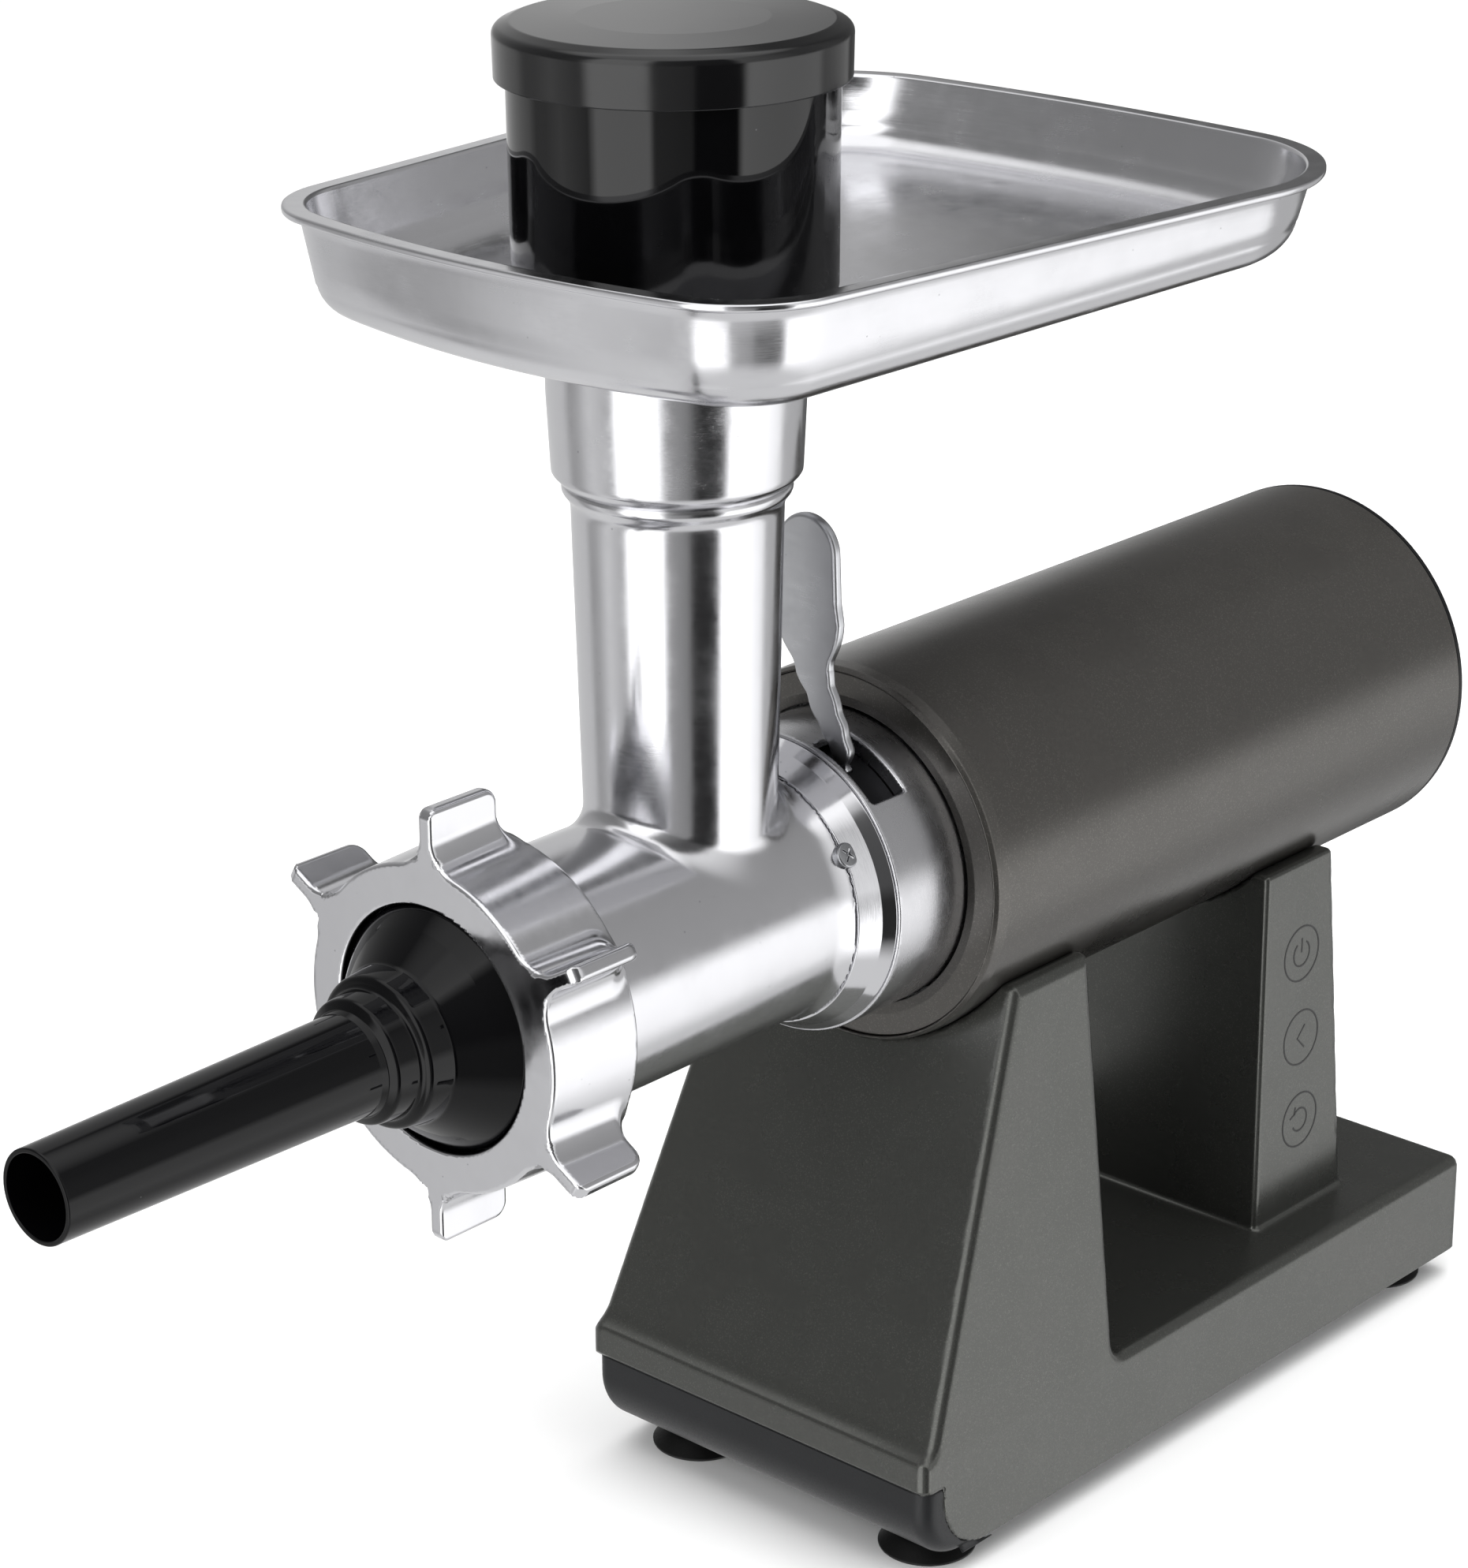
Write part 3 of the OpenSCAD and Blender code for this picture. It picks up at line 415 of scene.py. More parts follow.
def turning_tree():
    """Geometry nodes that turn a profile line about an axis: the profile's points become the rows of a
    grid, and each column of the grid is turned by its share of a full circle."""
    tree, given = geometry_tree("turn_profile", "Turned", (
        ("Profile", "Geometry"), ("Columns", "Int"), ("Centre", "Vector"), ("Axis", "Vector"),
        ("Finish", "Material")))
    count = add(tree, "GeometryNodeAttributeDomainSize", links={0: given.outputs["Profile"]},
                component="MESH")
    columns = add(tree, "ShaderNodeMath", {1: 1.0}, {0: given.outputs["Columns"]}, operation="ADD")
    grid = add(tree, "GeometryNodeMeshGrid", links={"Vertices X": count.outputs["Point Count"],
                                                     "Vertices Y": columns.outputs[0]})
    index = add(tree, "GeometryNodeInputIndex")
    shared = add(tree, "ShaderNodeMath", links={0: index.outputs[0], 1: columns.outputs[0]},
                 operation="DIVIDE")
    row = add(tree, "ShaderNodeMath", links={0: shared.outputs[0]}, operation="FLOOR")
    column = add(tree, "ShaderNodeMath", links={0: index.outputs[0], 1: columns.outputs[0]},
                 operation="MODULO")
    part = add(tree, "ShaderNodeMath", links={0: column.outputs[0], 1: given.outputs["Columns"]},
               operation="DIVIDE")
    turn = add(tree, "ShaderNodeMath", {1: 2 * math.pi}, {0: part.outputs[0]}, operation="MULTIPLY")
    spot = add(tree, "GeometryNodeInputPosition")
    picked = add(tree, "GeometryNodeSampleIndex", links={"Geometry": given.outputs["Profile"]},
                 data_type="FLOAT_VECTOR", domain="POINT")
    tree.links.new(spot.outputs[0], next(s for s in picked.inputs if s.name == "Value" and s.enabled))
    tree.links.new(row.outputs[0], picked.inputs["Index"])
    turned = add(tree, "ShaderNodeVectorRotate", links={
        "Vector": next(s for s in picked.outputs if s.enabled), "Center": given.outputs["Centre"],
        "Axis": given.outputs["Axis"], "Angle": turn.outputs[0]}, rotation_type="AXIS_ANGLE")
    placed = add(tree, "GeometryNodeSetPosition", links={"Geometry": grid.outputs[0],
                                                         "Position": turned.outputs[0]})
    closed = add(tree, "GeometryNodeMergeByDistance", {"Distance": 0.000002}, {"Geometry": placed.outputs[0]})
    return finished(tree, given, closed.outputs[0])


TURNING = turning_tree()


def made_by(tree, name, mesh, inputs, material):
    """Runs a geometry node tree on a mesh and keeps the result as a plain mesh object."""
    carrier = bpy.data.objects.new(name + "_seed", mesh)
    bpy.context.scene.collection.objects.link(carrier)
    modifier = carrier.modifiers.new(name, "NODES")
    modifier.node_group = tree
    for key, value in inputs.items():
        modifier[socket_id(tree, key)] = value
    bpy.context.view_layer.update()
    shown = carrier.evaluated_get(bpy.context.evaluated_depsgraph_get())
    result = bpy.data.meshes.new_from_object(shown)
    bpy.data.objects.remove(carrier)
    return new_object(name, result, material)


def outward(piece, crease=38):
    shape = bmesh.new()
    shape.from_mesh(piece.data)
    bmesh.ops.recalc_face_normals(shape, faces=shape.faces)
    shape.to_mesh(piece.data)
    shape.free()
    piece.data.shade_smooth()
    piece.data.set_sharp_from_angle(angle=math.radians(crease))
    return piece


def turned_piece(name, profile, axis, material, columns=144, steps=6):
    """A piece turned about the drive axis (Y), the feed axis (Z) or the upright at the origin (O)."""
    line = eased(profile, steps)
    if line[0][0] > 1e-6:
        line.append(line[0])
    if axis == "O":
        centre, direction = (0, 0, 0), (0, 0, 1)
        points = [(0, -a * MM, b * MM) for a, b in line]
    elif axis == "Y":
        centre, direction = (0, 0, AXIS_Z * MM), (0, 1, 0)
        points = [(0, b * MM, (AXIS_Z + a) * MM) for a, b in line]
    else:
        centre, direction = (0, FEED_Y * MM, 0), (0, 0, 1)
        points = [(0, (FEED_Y - a) * MM, b * MM) for a, b in line]
    mesh = bpy.data.meshes.new(name + "_profile")
    mesh.from_pydata(points, [(i, i + 1) for i in range(len(points) - 1)], [])
    piece = made_by(TURNING, name, mesh, {"Columns": columns, "Centre": centre, "Axis": direction,
                                          "Finish": material}, material)
    return outward(piece)


# ---- rounded solids: distance to the skin, in mm, negative inside ----


def joined(a, b, r):
    """Union of two solids with a fillet of radius r along the join."""
    u, v = np.maximum(r - a, 0), np.maximum(r - b, 0)
    return np.maximum(r, np.minimum(a, b)) - np.hypot(u, v)


def common(a, b, r):
    """What two solids share, with their shared edge rounded to radius r."""
    u, v = np.maximum(r + a, 0), np.maximum(r + b, 0)
    return np.minimum(-r, np.maximum(a, b)) + np.hypot(u, v)


def slope_of(solid, points):
    step = 0.01
    out = np.empty_like(points)
    for k in range(3):
        shift = np.zeros(3)
        shift[k] = step
        out[:, k] = (solid(points + shift) - solid(points - shift)) / (2 * step)
    length = np.linalg.norm(out, axis=1)
    return out, np.maximum(length, 1e-6)


def merged_copy(node):
    """A CAD node's loose triangles as one closed mesh."""
    mesh = bpy.data.objects[node].data.copy()
    shape = bmesh.new()
    shape.from_mesh(mesh)
    bmesh.ops.remove_doubles(shape, verts=shape.verts, dist=0.000002)
    shape.to_mesh(mesh)
    shape.free()
    return mesh


def block_mesh(lowest, highest):
    mesh = bpy.data.meshes.new("block")
    shape = bmesh.new()
    bmesh.ops.create_cube(shape, size=1.0)
    for v in shape.verts:
        v.co = Vector([(lo + (hi - lo) * (c + 0.5)) * MM for lo, hi, c in zip(lowest, highest, v.co)])
    shape.to_mesh(mesh)
    shape.free()
    return mesh


def remeshed(mesh, voxel):
    """The same closed surface in even quads, about a voxel wide, in mm."""
    seed = bpy.data.objects.new("seed", mesh)
    bpy.context.scene.collection.objects.link(seed)
    remesh = seed.modifiers.new("even_mesh", "REMESH")
    remesh.mode = "VOXEL"
    remesh.voxel_size = voxel * MM
    bpy.context.view_layer.update()
    even = bpy.data.meshes.new_from_object(seed.evaluated_get(bpy.context.evaluated_depsgraph_get()))
    bpy.data.objects.remove(seed)
    return even


def drawn_on(mesh, solid, reach, rounds):
    """Moves the skin of a mesh onto a solid; gives its points, in mm, and which of them lie on the solid."""
    total = len(mesh.vertices)
    flat = np.empty(total * 3)
    mesh.vertices.foreach_get("co", flat)
    points = flat.reshape(-1, 3) / MM
    facing = np.empty(total * 3, np.float32)
    mesh.vertex_normals.foreach_get("vector", facing)
    facing = facing.reshape(-1, 3)
    gap = solid(points)
    slope, length = slope_of(solid, points)
    # only skin that is near the solid and faces the same way is drawn onto it
    held = (np.abs(gap) < reach) & ((slope * facing).sum(1) / length > 0.15)
    skin = points[held]
    for _ in range(rounds):
        gap = solid(skin)
        slope, length = slope_of(solid, skin)
        move = np.clip(gap / length, -0.8 * reach, 0.8 * reach)
        skin = skin - slope * (move / length)[:, None]
    points[held] = skin
    mesh.vertices.foreach_set("co", (points * MM).ravel())
    mesh.update()
    return points, held


def dressed(name, mesh, solid, voxel, reach, material, rounds=6, passes=1):
    """A mesh with its edges rounded: it is remeshed finely, its skin is drawn onto the rounded solid,
    and its shading follows that solid's true slope."""
    for _ in range(passes):
        mesh = remeshed(mesh, voxel)
        points, held = drawn_on(mesh, solid, reach, rounds)
    mesh.shade_smooth()
    mesh.update()
    slope, length = slope_of(solid, points)
    aim = slope / length[:, None]
    corners = len(mesh.loops)
    owner = np.empty(corners, np.int32)
    mesh.loops.foreach_get("vertex_index", owner)
    sizes = np.empty(len(mesh.polygons), np.int32)
    mesh.polygons.foreach_get("loop_total", sizes)
    face_normal = np.empty(len(mesh.polygons) * 3, np.float32)
    mesh.polygons.foreach_get("normal", face_normal)
    face_normal = np.repeat(face_normal.reshape(-1, 3), sizes, axis=0)
    natural = np.empty(corners * 3, np.float32)
    mesh.corner_normals.foreach_get("vector", natural)
    natural = natural.reshape(-1, 3)
    on_skin = held[owner] & ((face_normal * aim[owner]).sum(1) > 0.5)
    final = np.where(on_skin[:, None], aim[owner], natural)
    mesh.normals_split_custom_set(final.tolist())
    return new_object(name, mesh, material)


# ---- camera, light and floor ----


def aim_camera():
    azimuth, elevation, roll = (math.radians(v) for v in (42.335, 19.691, -0.301))
    back = Vector((math.sin(azimuth) * math.cos(elevation), -math.cos(azimuth) * math.cos(elevation),
                   math.sin(elevation)))
    right = Vector((math.cos(azimuth), math.sin(azimuth), 0))
    up = back.cross(right)
    side = right * math.cos(roll) + up * math.sin(roll)
    top = up * math.cos(roll) - right * math.sin(roll)
    data = bpy.data.cameras.new("camera")
    data.lens = 97.5
    data.sensor_width = 36
    data.shift_y = -0.0538
    data.clip_end = 60
    camera = bpy.data.objects.new("camera", data)
    turn = Matrix((side, top, back)).transposed().to_4x4()
    camera.matrix_world = Matrix.Translation((0.6921, -0.7756, 0.6116)) @ turn
    bpy.context.scene.collection.objects.link(camera)
    bpy.context.scene.camera = camera


def studio_world():
    """A studio of tall soft boxes and dark gaps set round the object, under one big overhead light."""
    world = bpy.data.worlds.new("studio")
    world.use_nodes = True
    bpy.context.scene.world = world
    tree = world.node_tree
    tree.nodes.clear()
    look = add(tree, "ShaderNodeTexCoord").outputs["Generated"]
    split = add(tree, "ShaderNodeSeparateXYZ", links={0: look})
    turn = add(tree, "ShaderNodeMath", links={0: split.outputs["Y"], 1: split.outputs["X"]},
               operation="ARCTAN2")
    share = between(tree, turn.outputs[0], -math.pi, math.pi, 0, 1)

    def ring(levels):
        return ramp(tree, share, [((a + 180) / 360, grey(v)) for a, v in levels])

    low_ring = ring([(-180, 0.7), (-165, 0.7), (-156, 0.4), (-145, 0.5), (-131, 0.85), (-120, 0.7),
                     (-108, 0.5), (-101, 2.4), (-64, 2.4), (-60, 0.42), (-35, 0.3), (-32, 0.03),
                     (-3, 0.03), (2, 2.3), (34, 1.7), (58, 1.3), (64, 0.6), (98, 0.55), (104, 0.12),
                     (127, 0.12), (132, 0.85), (150, 0.7), (180, 0.7)])
    mid_ring = ring([(-180, 0.4), (-160, 0.3), (-125, 0.25), (-108, 0.35), (-98, 2.1), (-66, 2.1),
                     (-58, 0.3), (-30, 0.1), (-9, 0.08), (-3, 1.1), (20, 0.8), (40, 0.42), (70, 0.36),
                     (92, 0.16), (128, 0.14), (134, 0.7), (150, 0.5), (180, 0.4)])
    rise = split.outputs["Z"]
    lower = add(tree, "ShaderNodeMix", {6: grey(0.85)},
                {0: between(tree, rise, -0.75, -0.55, 0, 1), 7: low_ring}, data_type="RGBA")
    middle = add(tree, "ShaderNodeMix", links={0: between(tree, rise, -0.16, 0.02, 0, 1), 6: lower.outputs[2],
                                               7: mid_ring}, data_type="RGBA")
    upper = add(tree, "ShaderNodeMix", {7: grey(1.5)}, {0: between(tree, rise, 0.72, 0.86, 0, 1),
                                                       6: middle.outputs[2]}, data_type="RGBA")
    back = add(tree, "ShaderNodeBackground", {"Strength": 1.0}, {"Color": upper.outputs[2]})
    add(tree, "ShaderNodeOutputWorld", links={0: back.outputs[0]})


def soft_box(name, place, target, size, power):
    data = bpy.data.lights.new(name, "AREA")
    data.shape = "SQUARE"
    data.size = size
    data.energy = power
    light = bpy.data.objects.new(name, data)
    aim = (Vector(target) - Vector(place)).to_track_quat("-Z", "Y")
    light.matrix_world = Matrix.Translation(place) @ aim.to_matrix().to_4x4()
    light.visible_glossy = False
    bpy.context.scene.collection.objects.link(light)


def pale_floor():
    material, tree, shader = blank("pale_paper_sweep")
    grain = stretched(tree, object_place(tree), (6, 6, 6), 3)
    shades = ramp(tree, grain, [(0.3, linear("#f4f4f4")), (0.7, linear("#f8f8f8"))])
    tree.links.new(shades, shader.inputs["Base Color"])
    shader.inputs["Roughness"].default_value = 0.9
    mesh = bpy.data.meshes.new("floor")
    reach = 12.0
    corners = [(-reach, -reach, 0), (reach, -reach, 0), (reach, reach, 0), (-reach, reach, 0)]
    mesh.from_pydata(corners, [], [(0, 1, 2, 3)])
    floor = new_object("floor", mesh, material)
    floor.visible_glossy = False


bpy.context.scene.view_settings.view_transform = "Standard"
aim_camera()
studio_world()
pale_floor()
soft_box("overhead", (0.2, -0.1, 2.0), (0, 0, 0.15), 2.4, 42)
soft_box("front_left", (-0.9, -1.9, 1.2), (0, 0, 0.2), 1.2, 12)
soft_box("right", (1.9, 0.5, 1.0), (0, 0, 0.2), 1.2, 12)

# ---- housing ----

tube_wall = 1.7
tube = turned_piece("housing_tube_skin", [
    (HOUSING_R, HOUSING_REAR, 0.3), (HOUSING_R - tube_wall, HOUSING_REAR, 0.3),
    (HOUSING_R - tube_wall, HOUSING_FRONT, 0.3), (HOUSING_R - 1.3, HOUSING_FRONT, 0.3),
    (HOUSING_R - 0.4, HOUSING_FRONT + 1.3, 1.6), (HOUSING_R, HOUSING_FRONT + 5, 4)], "Y", PAINT_TUBE, 192)
settle(tube, "stand", "housing_paint", "housing_tube")

face_y = low("front_bezel", 1)
bezel_r = high("front_bezel", 0)
bezel = turned_piece("front_bezel_skin", [
    (bezel_r, face_y + 0.6, 0.4), (bezel_r, face_y + 7.6, 0), (COLLAR_R + 0.5, face_y + 7.6, 0),
    (COLLAR_R + 0.5, face_y + 0.6, 0.5), (45, face_y, 1.5)], "Y", PAINT_TUBE, 192)
settle(bezel, "stand", "housing_paint", "front_bezel")

# ---- socket ----

window_mid, window_half = math.radians(60.5), math.radians(16.5)
window_y, window_half_y = 10.7, 6.5


def radial(p):
    return np.hypot(p[:, 0], p[:, 2] - AXIS_Z)


def collar_solid(p):
    rho = radial(p)
    angle = np.arctan2(p[:, 2] - AXIS_Z, p[:, 0])
    window = common((np.abs(angle - window_mid) - window_half) * COLLAR_R,
                    np.abs(p[:, 1] - window_y) - window_half_y, 1.2)
    body = common(rho - COLLAR_R, low("socket_collar", 1) - p[:, 1], 0.6)
    return common(body, -window, 0.7)


collar = dressed("socket_collar_skin", merged_copy("socket_collar"), collar_solid, 0.7, 1.4,
                 CAST_COLLAR, 8, 2)
settle(collar, "stand", "cast_aluminium", "socket_collar")

bore, lip_rear = 34.05, 1.78
lip = turned_piece("socket_lip_skin", [
    (bore, LIP_FRONT, 0.2), (35.8, LIP_FRONT, 0.25), (38.6, -1.7, 1.2), (41.0, lip_rear, 0.3),
    (bore, lip_rear, 0.2)], "Y", CAST_LIP, 160)
settle(lip, "stand", "cast_aluminium", "socket_lip")

# the lever's middle line as (x, z, half width), from its broad end down to the lock ring
lever_path = [(3.6, 279, 10), (4, 259, 10.3), (5.6, 247, 5.2), (9.4, 238, 4), (12.7, 232, 3.4),
              (15.3, 226.8, 2.6), (14.6, 224.4, 2.6)]
lever_mid_y, lever_half_thick = 9.2, 1.5


def lever_solid(p):
    flat = p[:, [0, 2]]
    best = None
    for (x0, z0, r0), (x1, z1, r1) in zip(lever_path, lever_path[1:]):
        start, run = np.array([x0, z0]), np.array([x1 - x0, z1 - z0])
        t = np.clip((flat - start) @ run / (run @ run), 0, 1)
        away = np.linalg.norm(flat - start - t[:, None] * run, axis=1) - (r0 + (r1 - r0) * t)
        best = away if best is None else joined(best, away, 2.5)
    return common(best, np.abs(p[:, 1] - lever_mid_y) - lever_half_thick, 1.1)


lever = dressed("lock_lever_skin", merged_copy("lock_lever"), lever_solid, 0.45, 1.4, LEVER_METAL, 8, 2)
settle(lever, "lock", "lever_aluminium", "lock_lever")

# ---- grinder head ----


BARREL_R = 34
FLARE_START, FLARE_LENGTH, FLARE_RISE = -14.5, 6.5, 1.7
SWELL_START, SWELL_LENGTH, SWELL_RISE = -97, 5, 4.3
FEED_FOOT_R, FEED_SPREAD, FEED_RISE = 24.1, 2.7, 116
SHOULDER_R, SHOULDER_FOOT, SHOULDER_TOP = 28.3, 306.0, 307.3


def head_solid(p):
    rho = radial(p)
    flare = np.clip((p[:, 1] - FLARE_START) / FLARE_LENGTH, 0, 1)
    swell = np.clip((SWELL_START - p[:, 1]) / SWELL_LENGTH, 0, 1) * SWELL_RISE
    bell = common(rho - (BARREL_R + FLARE_RISE * flare ** 2), p[:, 1] - (LIP_FRONT - 0.1), 0.35)
    barrel = np.minimum(rho - (BARREL_R + swell), bell)
    away = np.hypot(p[:, 0], p[:, 1] - FEED_Y)
    rise = p[:, 2] - AXIS_Z
    shoulder = common(away - SHOULDER_R, SHOULDER_FOOT - p[:, 2], 0.5)
    shoulder = common(shoulder, p[:, 2] - SHOULDER_TOP, 0.5)
    feed = joined(away - (FEED_FOOT_R + FEED_SPREAD * np.minimum(rise, FEED_RISE) / FEED_RISE), shoulder, 4.6)
    feed = np.where(rise > 0, feed, away + 50)
    return joined(barrel, feed, 4.5)


# the feed tube's own finish takes over inside this distance of its axis and outside this barrel radius
FEED_ZONE_R, BARREL_ZONE_R = 31, 36.5
head = dressed("grinder_head_skin", merged_copy("grinder_head"), head_solid, 1.05, 3.2, CAST_HEAD, 8, 2)
head.data.materials.append(CAST_FEED)
centres = np.empty(len(head.data.polygons) * 3)
head.data.polygons.foreach_get("center", centres)
centres = centres.reshape(-1, 3) / MM
on_feed = (np.hypot(centres[:, 0], centres[:, 1] - FEED_Y) < FEED_ZONE_R) & (radial(centres) > BARREL_ZONE_R)
head.data.polygons.foreach_set("material_index", on_feed.astype(np.int32))
settle(head, "head", "cast_aluminium", "grinder_head")

# ---- ring nut ----

wing_angles = [math.radians(30 + 60 * k) for k in range(6)]
NUT_REAR = high("ring_nut", 1)
SIDE_R, SIDE_SPREAD = 42.3, 1.1
WING_HALF, WING_DEPTH, WING_FOOT = 2.2, 23, 7.5
MOUTH_R, MOUTH_REAR = 32, -121.5


def nut_solid(p):
    y, rho = p[:, 1], radial(p)
    tip = high("ring_nut", 2) - AXIS_Z
    side = common(rho - (SIDE_R + SIDE_SPREAD * (y - NUT_FRONT) / 28), y - NUT_REAR, 1.0)
    angle = np.arctan2(p[:, 2] - AXIS_Z, p[:, 0])
    wings = None
    for a in wing_angles:
        turn = angle - a
        along, across = rho * np.cos(turn), rho * np.sin(turn)
        end = common(along - tip, y - (NUT_FRONT + WING_DEPTH), 4.2)
        blade = common(np.abs(across) - WING_HALF, end, 1.5)
        blade = np.where(along > 0, blade, 60)
        wings = blade if wings is None else np.minimum(wings, blade)
    whole = joined(side, wings, WING_FOOT)
    whole = common(whole, NUT_FRONT - y, 1.0)
    whole = np.maximum(whole, common(rho - tip, NUT_FRONT - y, 3.2))
    return np.where(y < MOUTH_REAR, common(whole, MOUTH_R - rho, 0.7), whole)


nut = dressed("ring_nut_skin", merged_copy("ring_nut"), nut_solid, 0.72, 5.0, CAST_NUT, 8, 2)
settle(nut, "nut", "cast_aluminium", "ring_nut")

# ---- sausage tube ----

tube_profile = [
    (29, -117.4, 0.3), (37.6, -117.4, 0.3), (37.6, -121.6, 0.3), (31.7, -121.6, 0.3), (31.3, -125.0, 0.8),
    (27.4, -129.6, 0.6), (20.4, -137.6, 2.0), (19.3, -144.4, 1.6), (16.6, -145.2, 1.2), (15.9, -151.6, 1.4),
    (13.6, -152.8, 0.4), (13.1, -154.6, 0.8), (11.7, TIP_Y, 0.45), (10.4, TIP_Y, 0.3), (11.4, -154, 1),
    (13, -146, 1), (17, -137, 2), (28, -124, 1)]
stuffer = turned_piece("sausage_tube_skin", tube_profile, "Y", TUBE_BLACK, 144)
settle(stuffer, "stuffer", "gloss_black", "sausage_tube")

# ---- pusher ----

body_r = CAP_R - 3
body_top = high("pusher_body", 2)
shaft_r, shaft_bore, shaft_foot, shaft_floor = 21.3, 18.9, 240, 243
cup_foot, cup_floor = 353.4, 356.4
pusher = turned_piece("pusher_body_skin", [
    (0, shaft_foot, 0), (20.6, shaft_foot, 1), (shaft_r, 241.5, 0), (shaft_r, cup_foot, 0.4),
    (body_r - 1.4, cup_foot, 1.2), (body_r - 0.5, 358, 0), (body_r, body_top, 0.4),
    (body_r - 2.4, body_top, 0.4), (body_r - 2.8, cup_floor, 1), (shaft_bore, cup_floor, 0.6),
    (shaft_bore, shaft_floor, 1), (0, shaft_floor, 0)], "Z", GLOSS_BLACK, 160)
settle(pusher, "pusher", "gloss_black", "pusher_body")
skirt = low("pusher_cap", 2)
cap = turned_piece("pusher_cap_skin", [
    (0, CAP_TOP - 3, 0), (CAP_R - 2.5, CAP_TOP - 3, 0.6), (CAP_R - 2.5, skirt, 0.3),
    (CAP_R - 0.25, skirt, 0.4),
    (CAP_R, CAP_TOP - 2.3, 2.4), (CAP_R - 4.2, CAP_TOP - 0.7, 2.2), (CAP_R - 20, CAP_TOP - 0.15, 8),
    (0, CAP_TOP, 0)], "Z", CAP_BLACK, 192, 8)
settle(cap, "cap", "gloss_black", "pusher_cap")

# ---- hopper tray ----

TRAY_FRONT, TRAY_REAR = -61.8, 159.0
FLOOR_Z = 347.4
TILT = math.tan(math.radians(2))
HALF_FRONT, HALF_REAR = 85.7, 100.4
CORNER_FRONT, CORNER_REAR = 23, 42.7
BOW_FRONT, BOW_REAR = 10.6, 8.1
SHEET = 2.2


def tray_outline(inset):
    """Plan outline of the tray about the feed axis, moved in by inset; it always has as many points."""
    a, b = HALF_FRONT - inset, HALF_REAR - inset
    y0, y1 = TRAY_FRONT + inset, TRAY_REAR - inset
    r1, r2 = max(CORNER_FRONT - inset * 0.6, 4), max(CORNER_REAR - inset, 6)
    line = []

    def stretch(start, end, count):
        for k in range(count):
            t = k / count
            line.append((start[0] + (end[0] - start[0]) * t, start[1] + (end[1] - start[1]) * t))

    def corner(cx, cy, r, begin, finish, count):
        for k in range(count):
            t = math.radians(begin + (finish - begin) * k / count)
            line.append((cx + r * math.cos(t), cy + r * math.sin(t)))

    lean = math.degrees(math.atan2(b - a, (y1 - r2) - (y0 + r1)))
    stretch((0, y0), (a - r1, y0), 24)
    corner(a - r1, y0 + r1, r1, -90, -lean, 18)
    right = (a - r1 + r1 * math.cos(math.radians(-lean)), y0 + r1 + r1 * math.sin(math.radians(-lean)))
    rear = (b - r2 + r2 * math.cos(math.radians(-lean)), y1 - r2 + r2 * math.sin(math.radians(-lean)))
    stretch(right, rear, 60)
    corner(b - r2, y1 - r2, r2, -lean, 90, 30)
    stretch((b - r2, y1), (0, y1), 20)
    half = []
    for x, y in line:
        if y < y0 + r1:
            y -= BOW_FRONT * (1 - (x / a) ** 2) if abs(x) < a else 0
        if y > y1 - r2:
            y += BOW_REAR * (1 - (x / b) ** 2) if abs(x) < b else 0
        half.append((x, y))
    end = (0, y1 + BOW_REAR)
    return half + [end] + [(-x, y) for x, y in reversed(half[1:])]


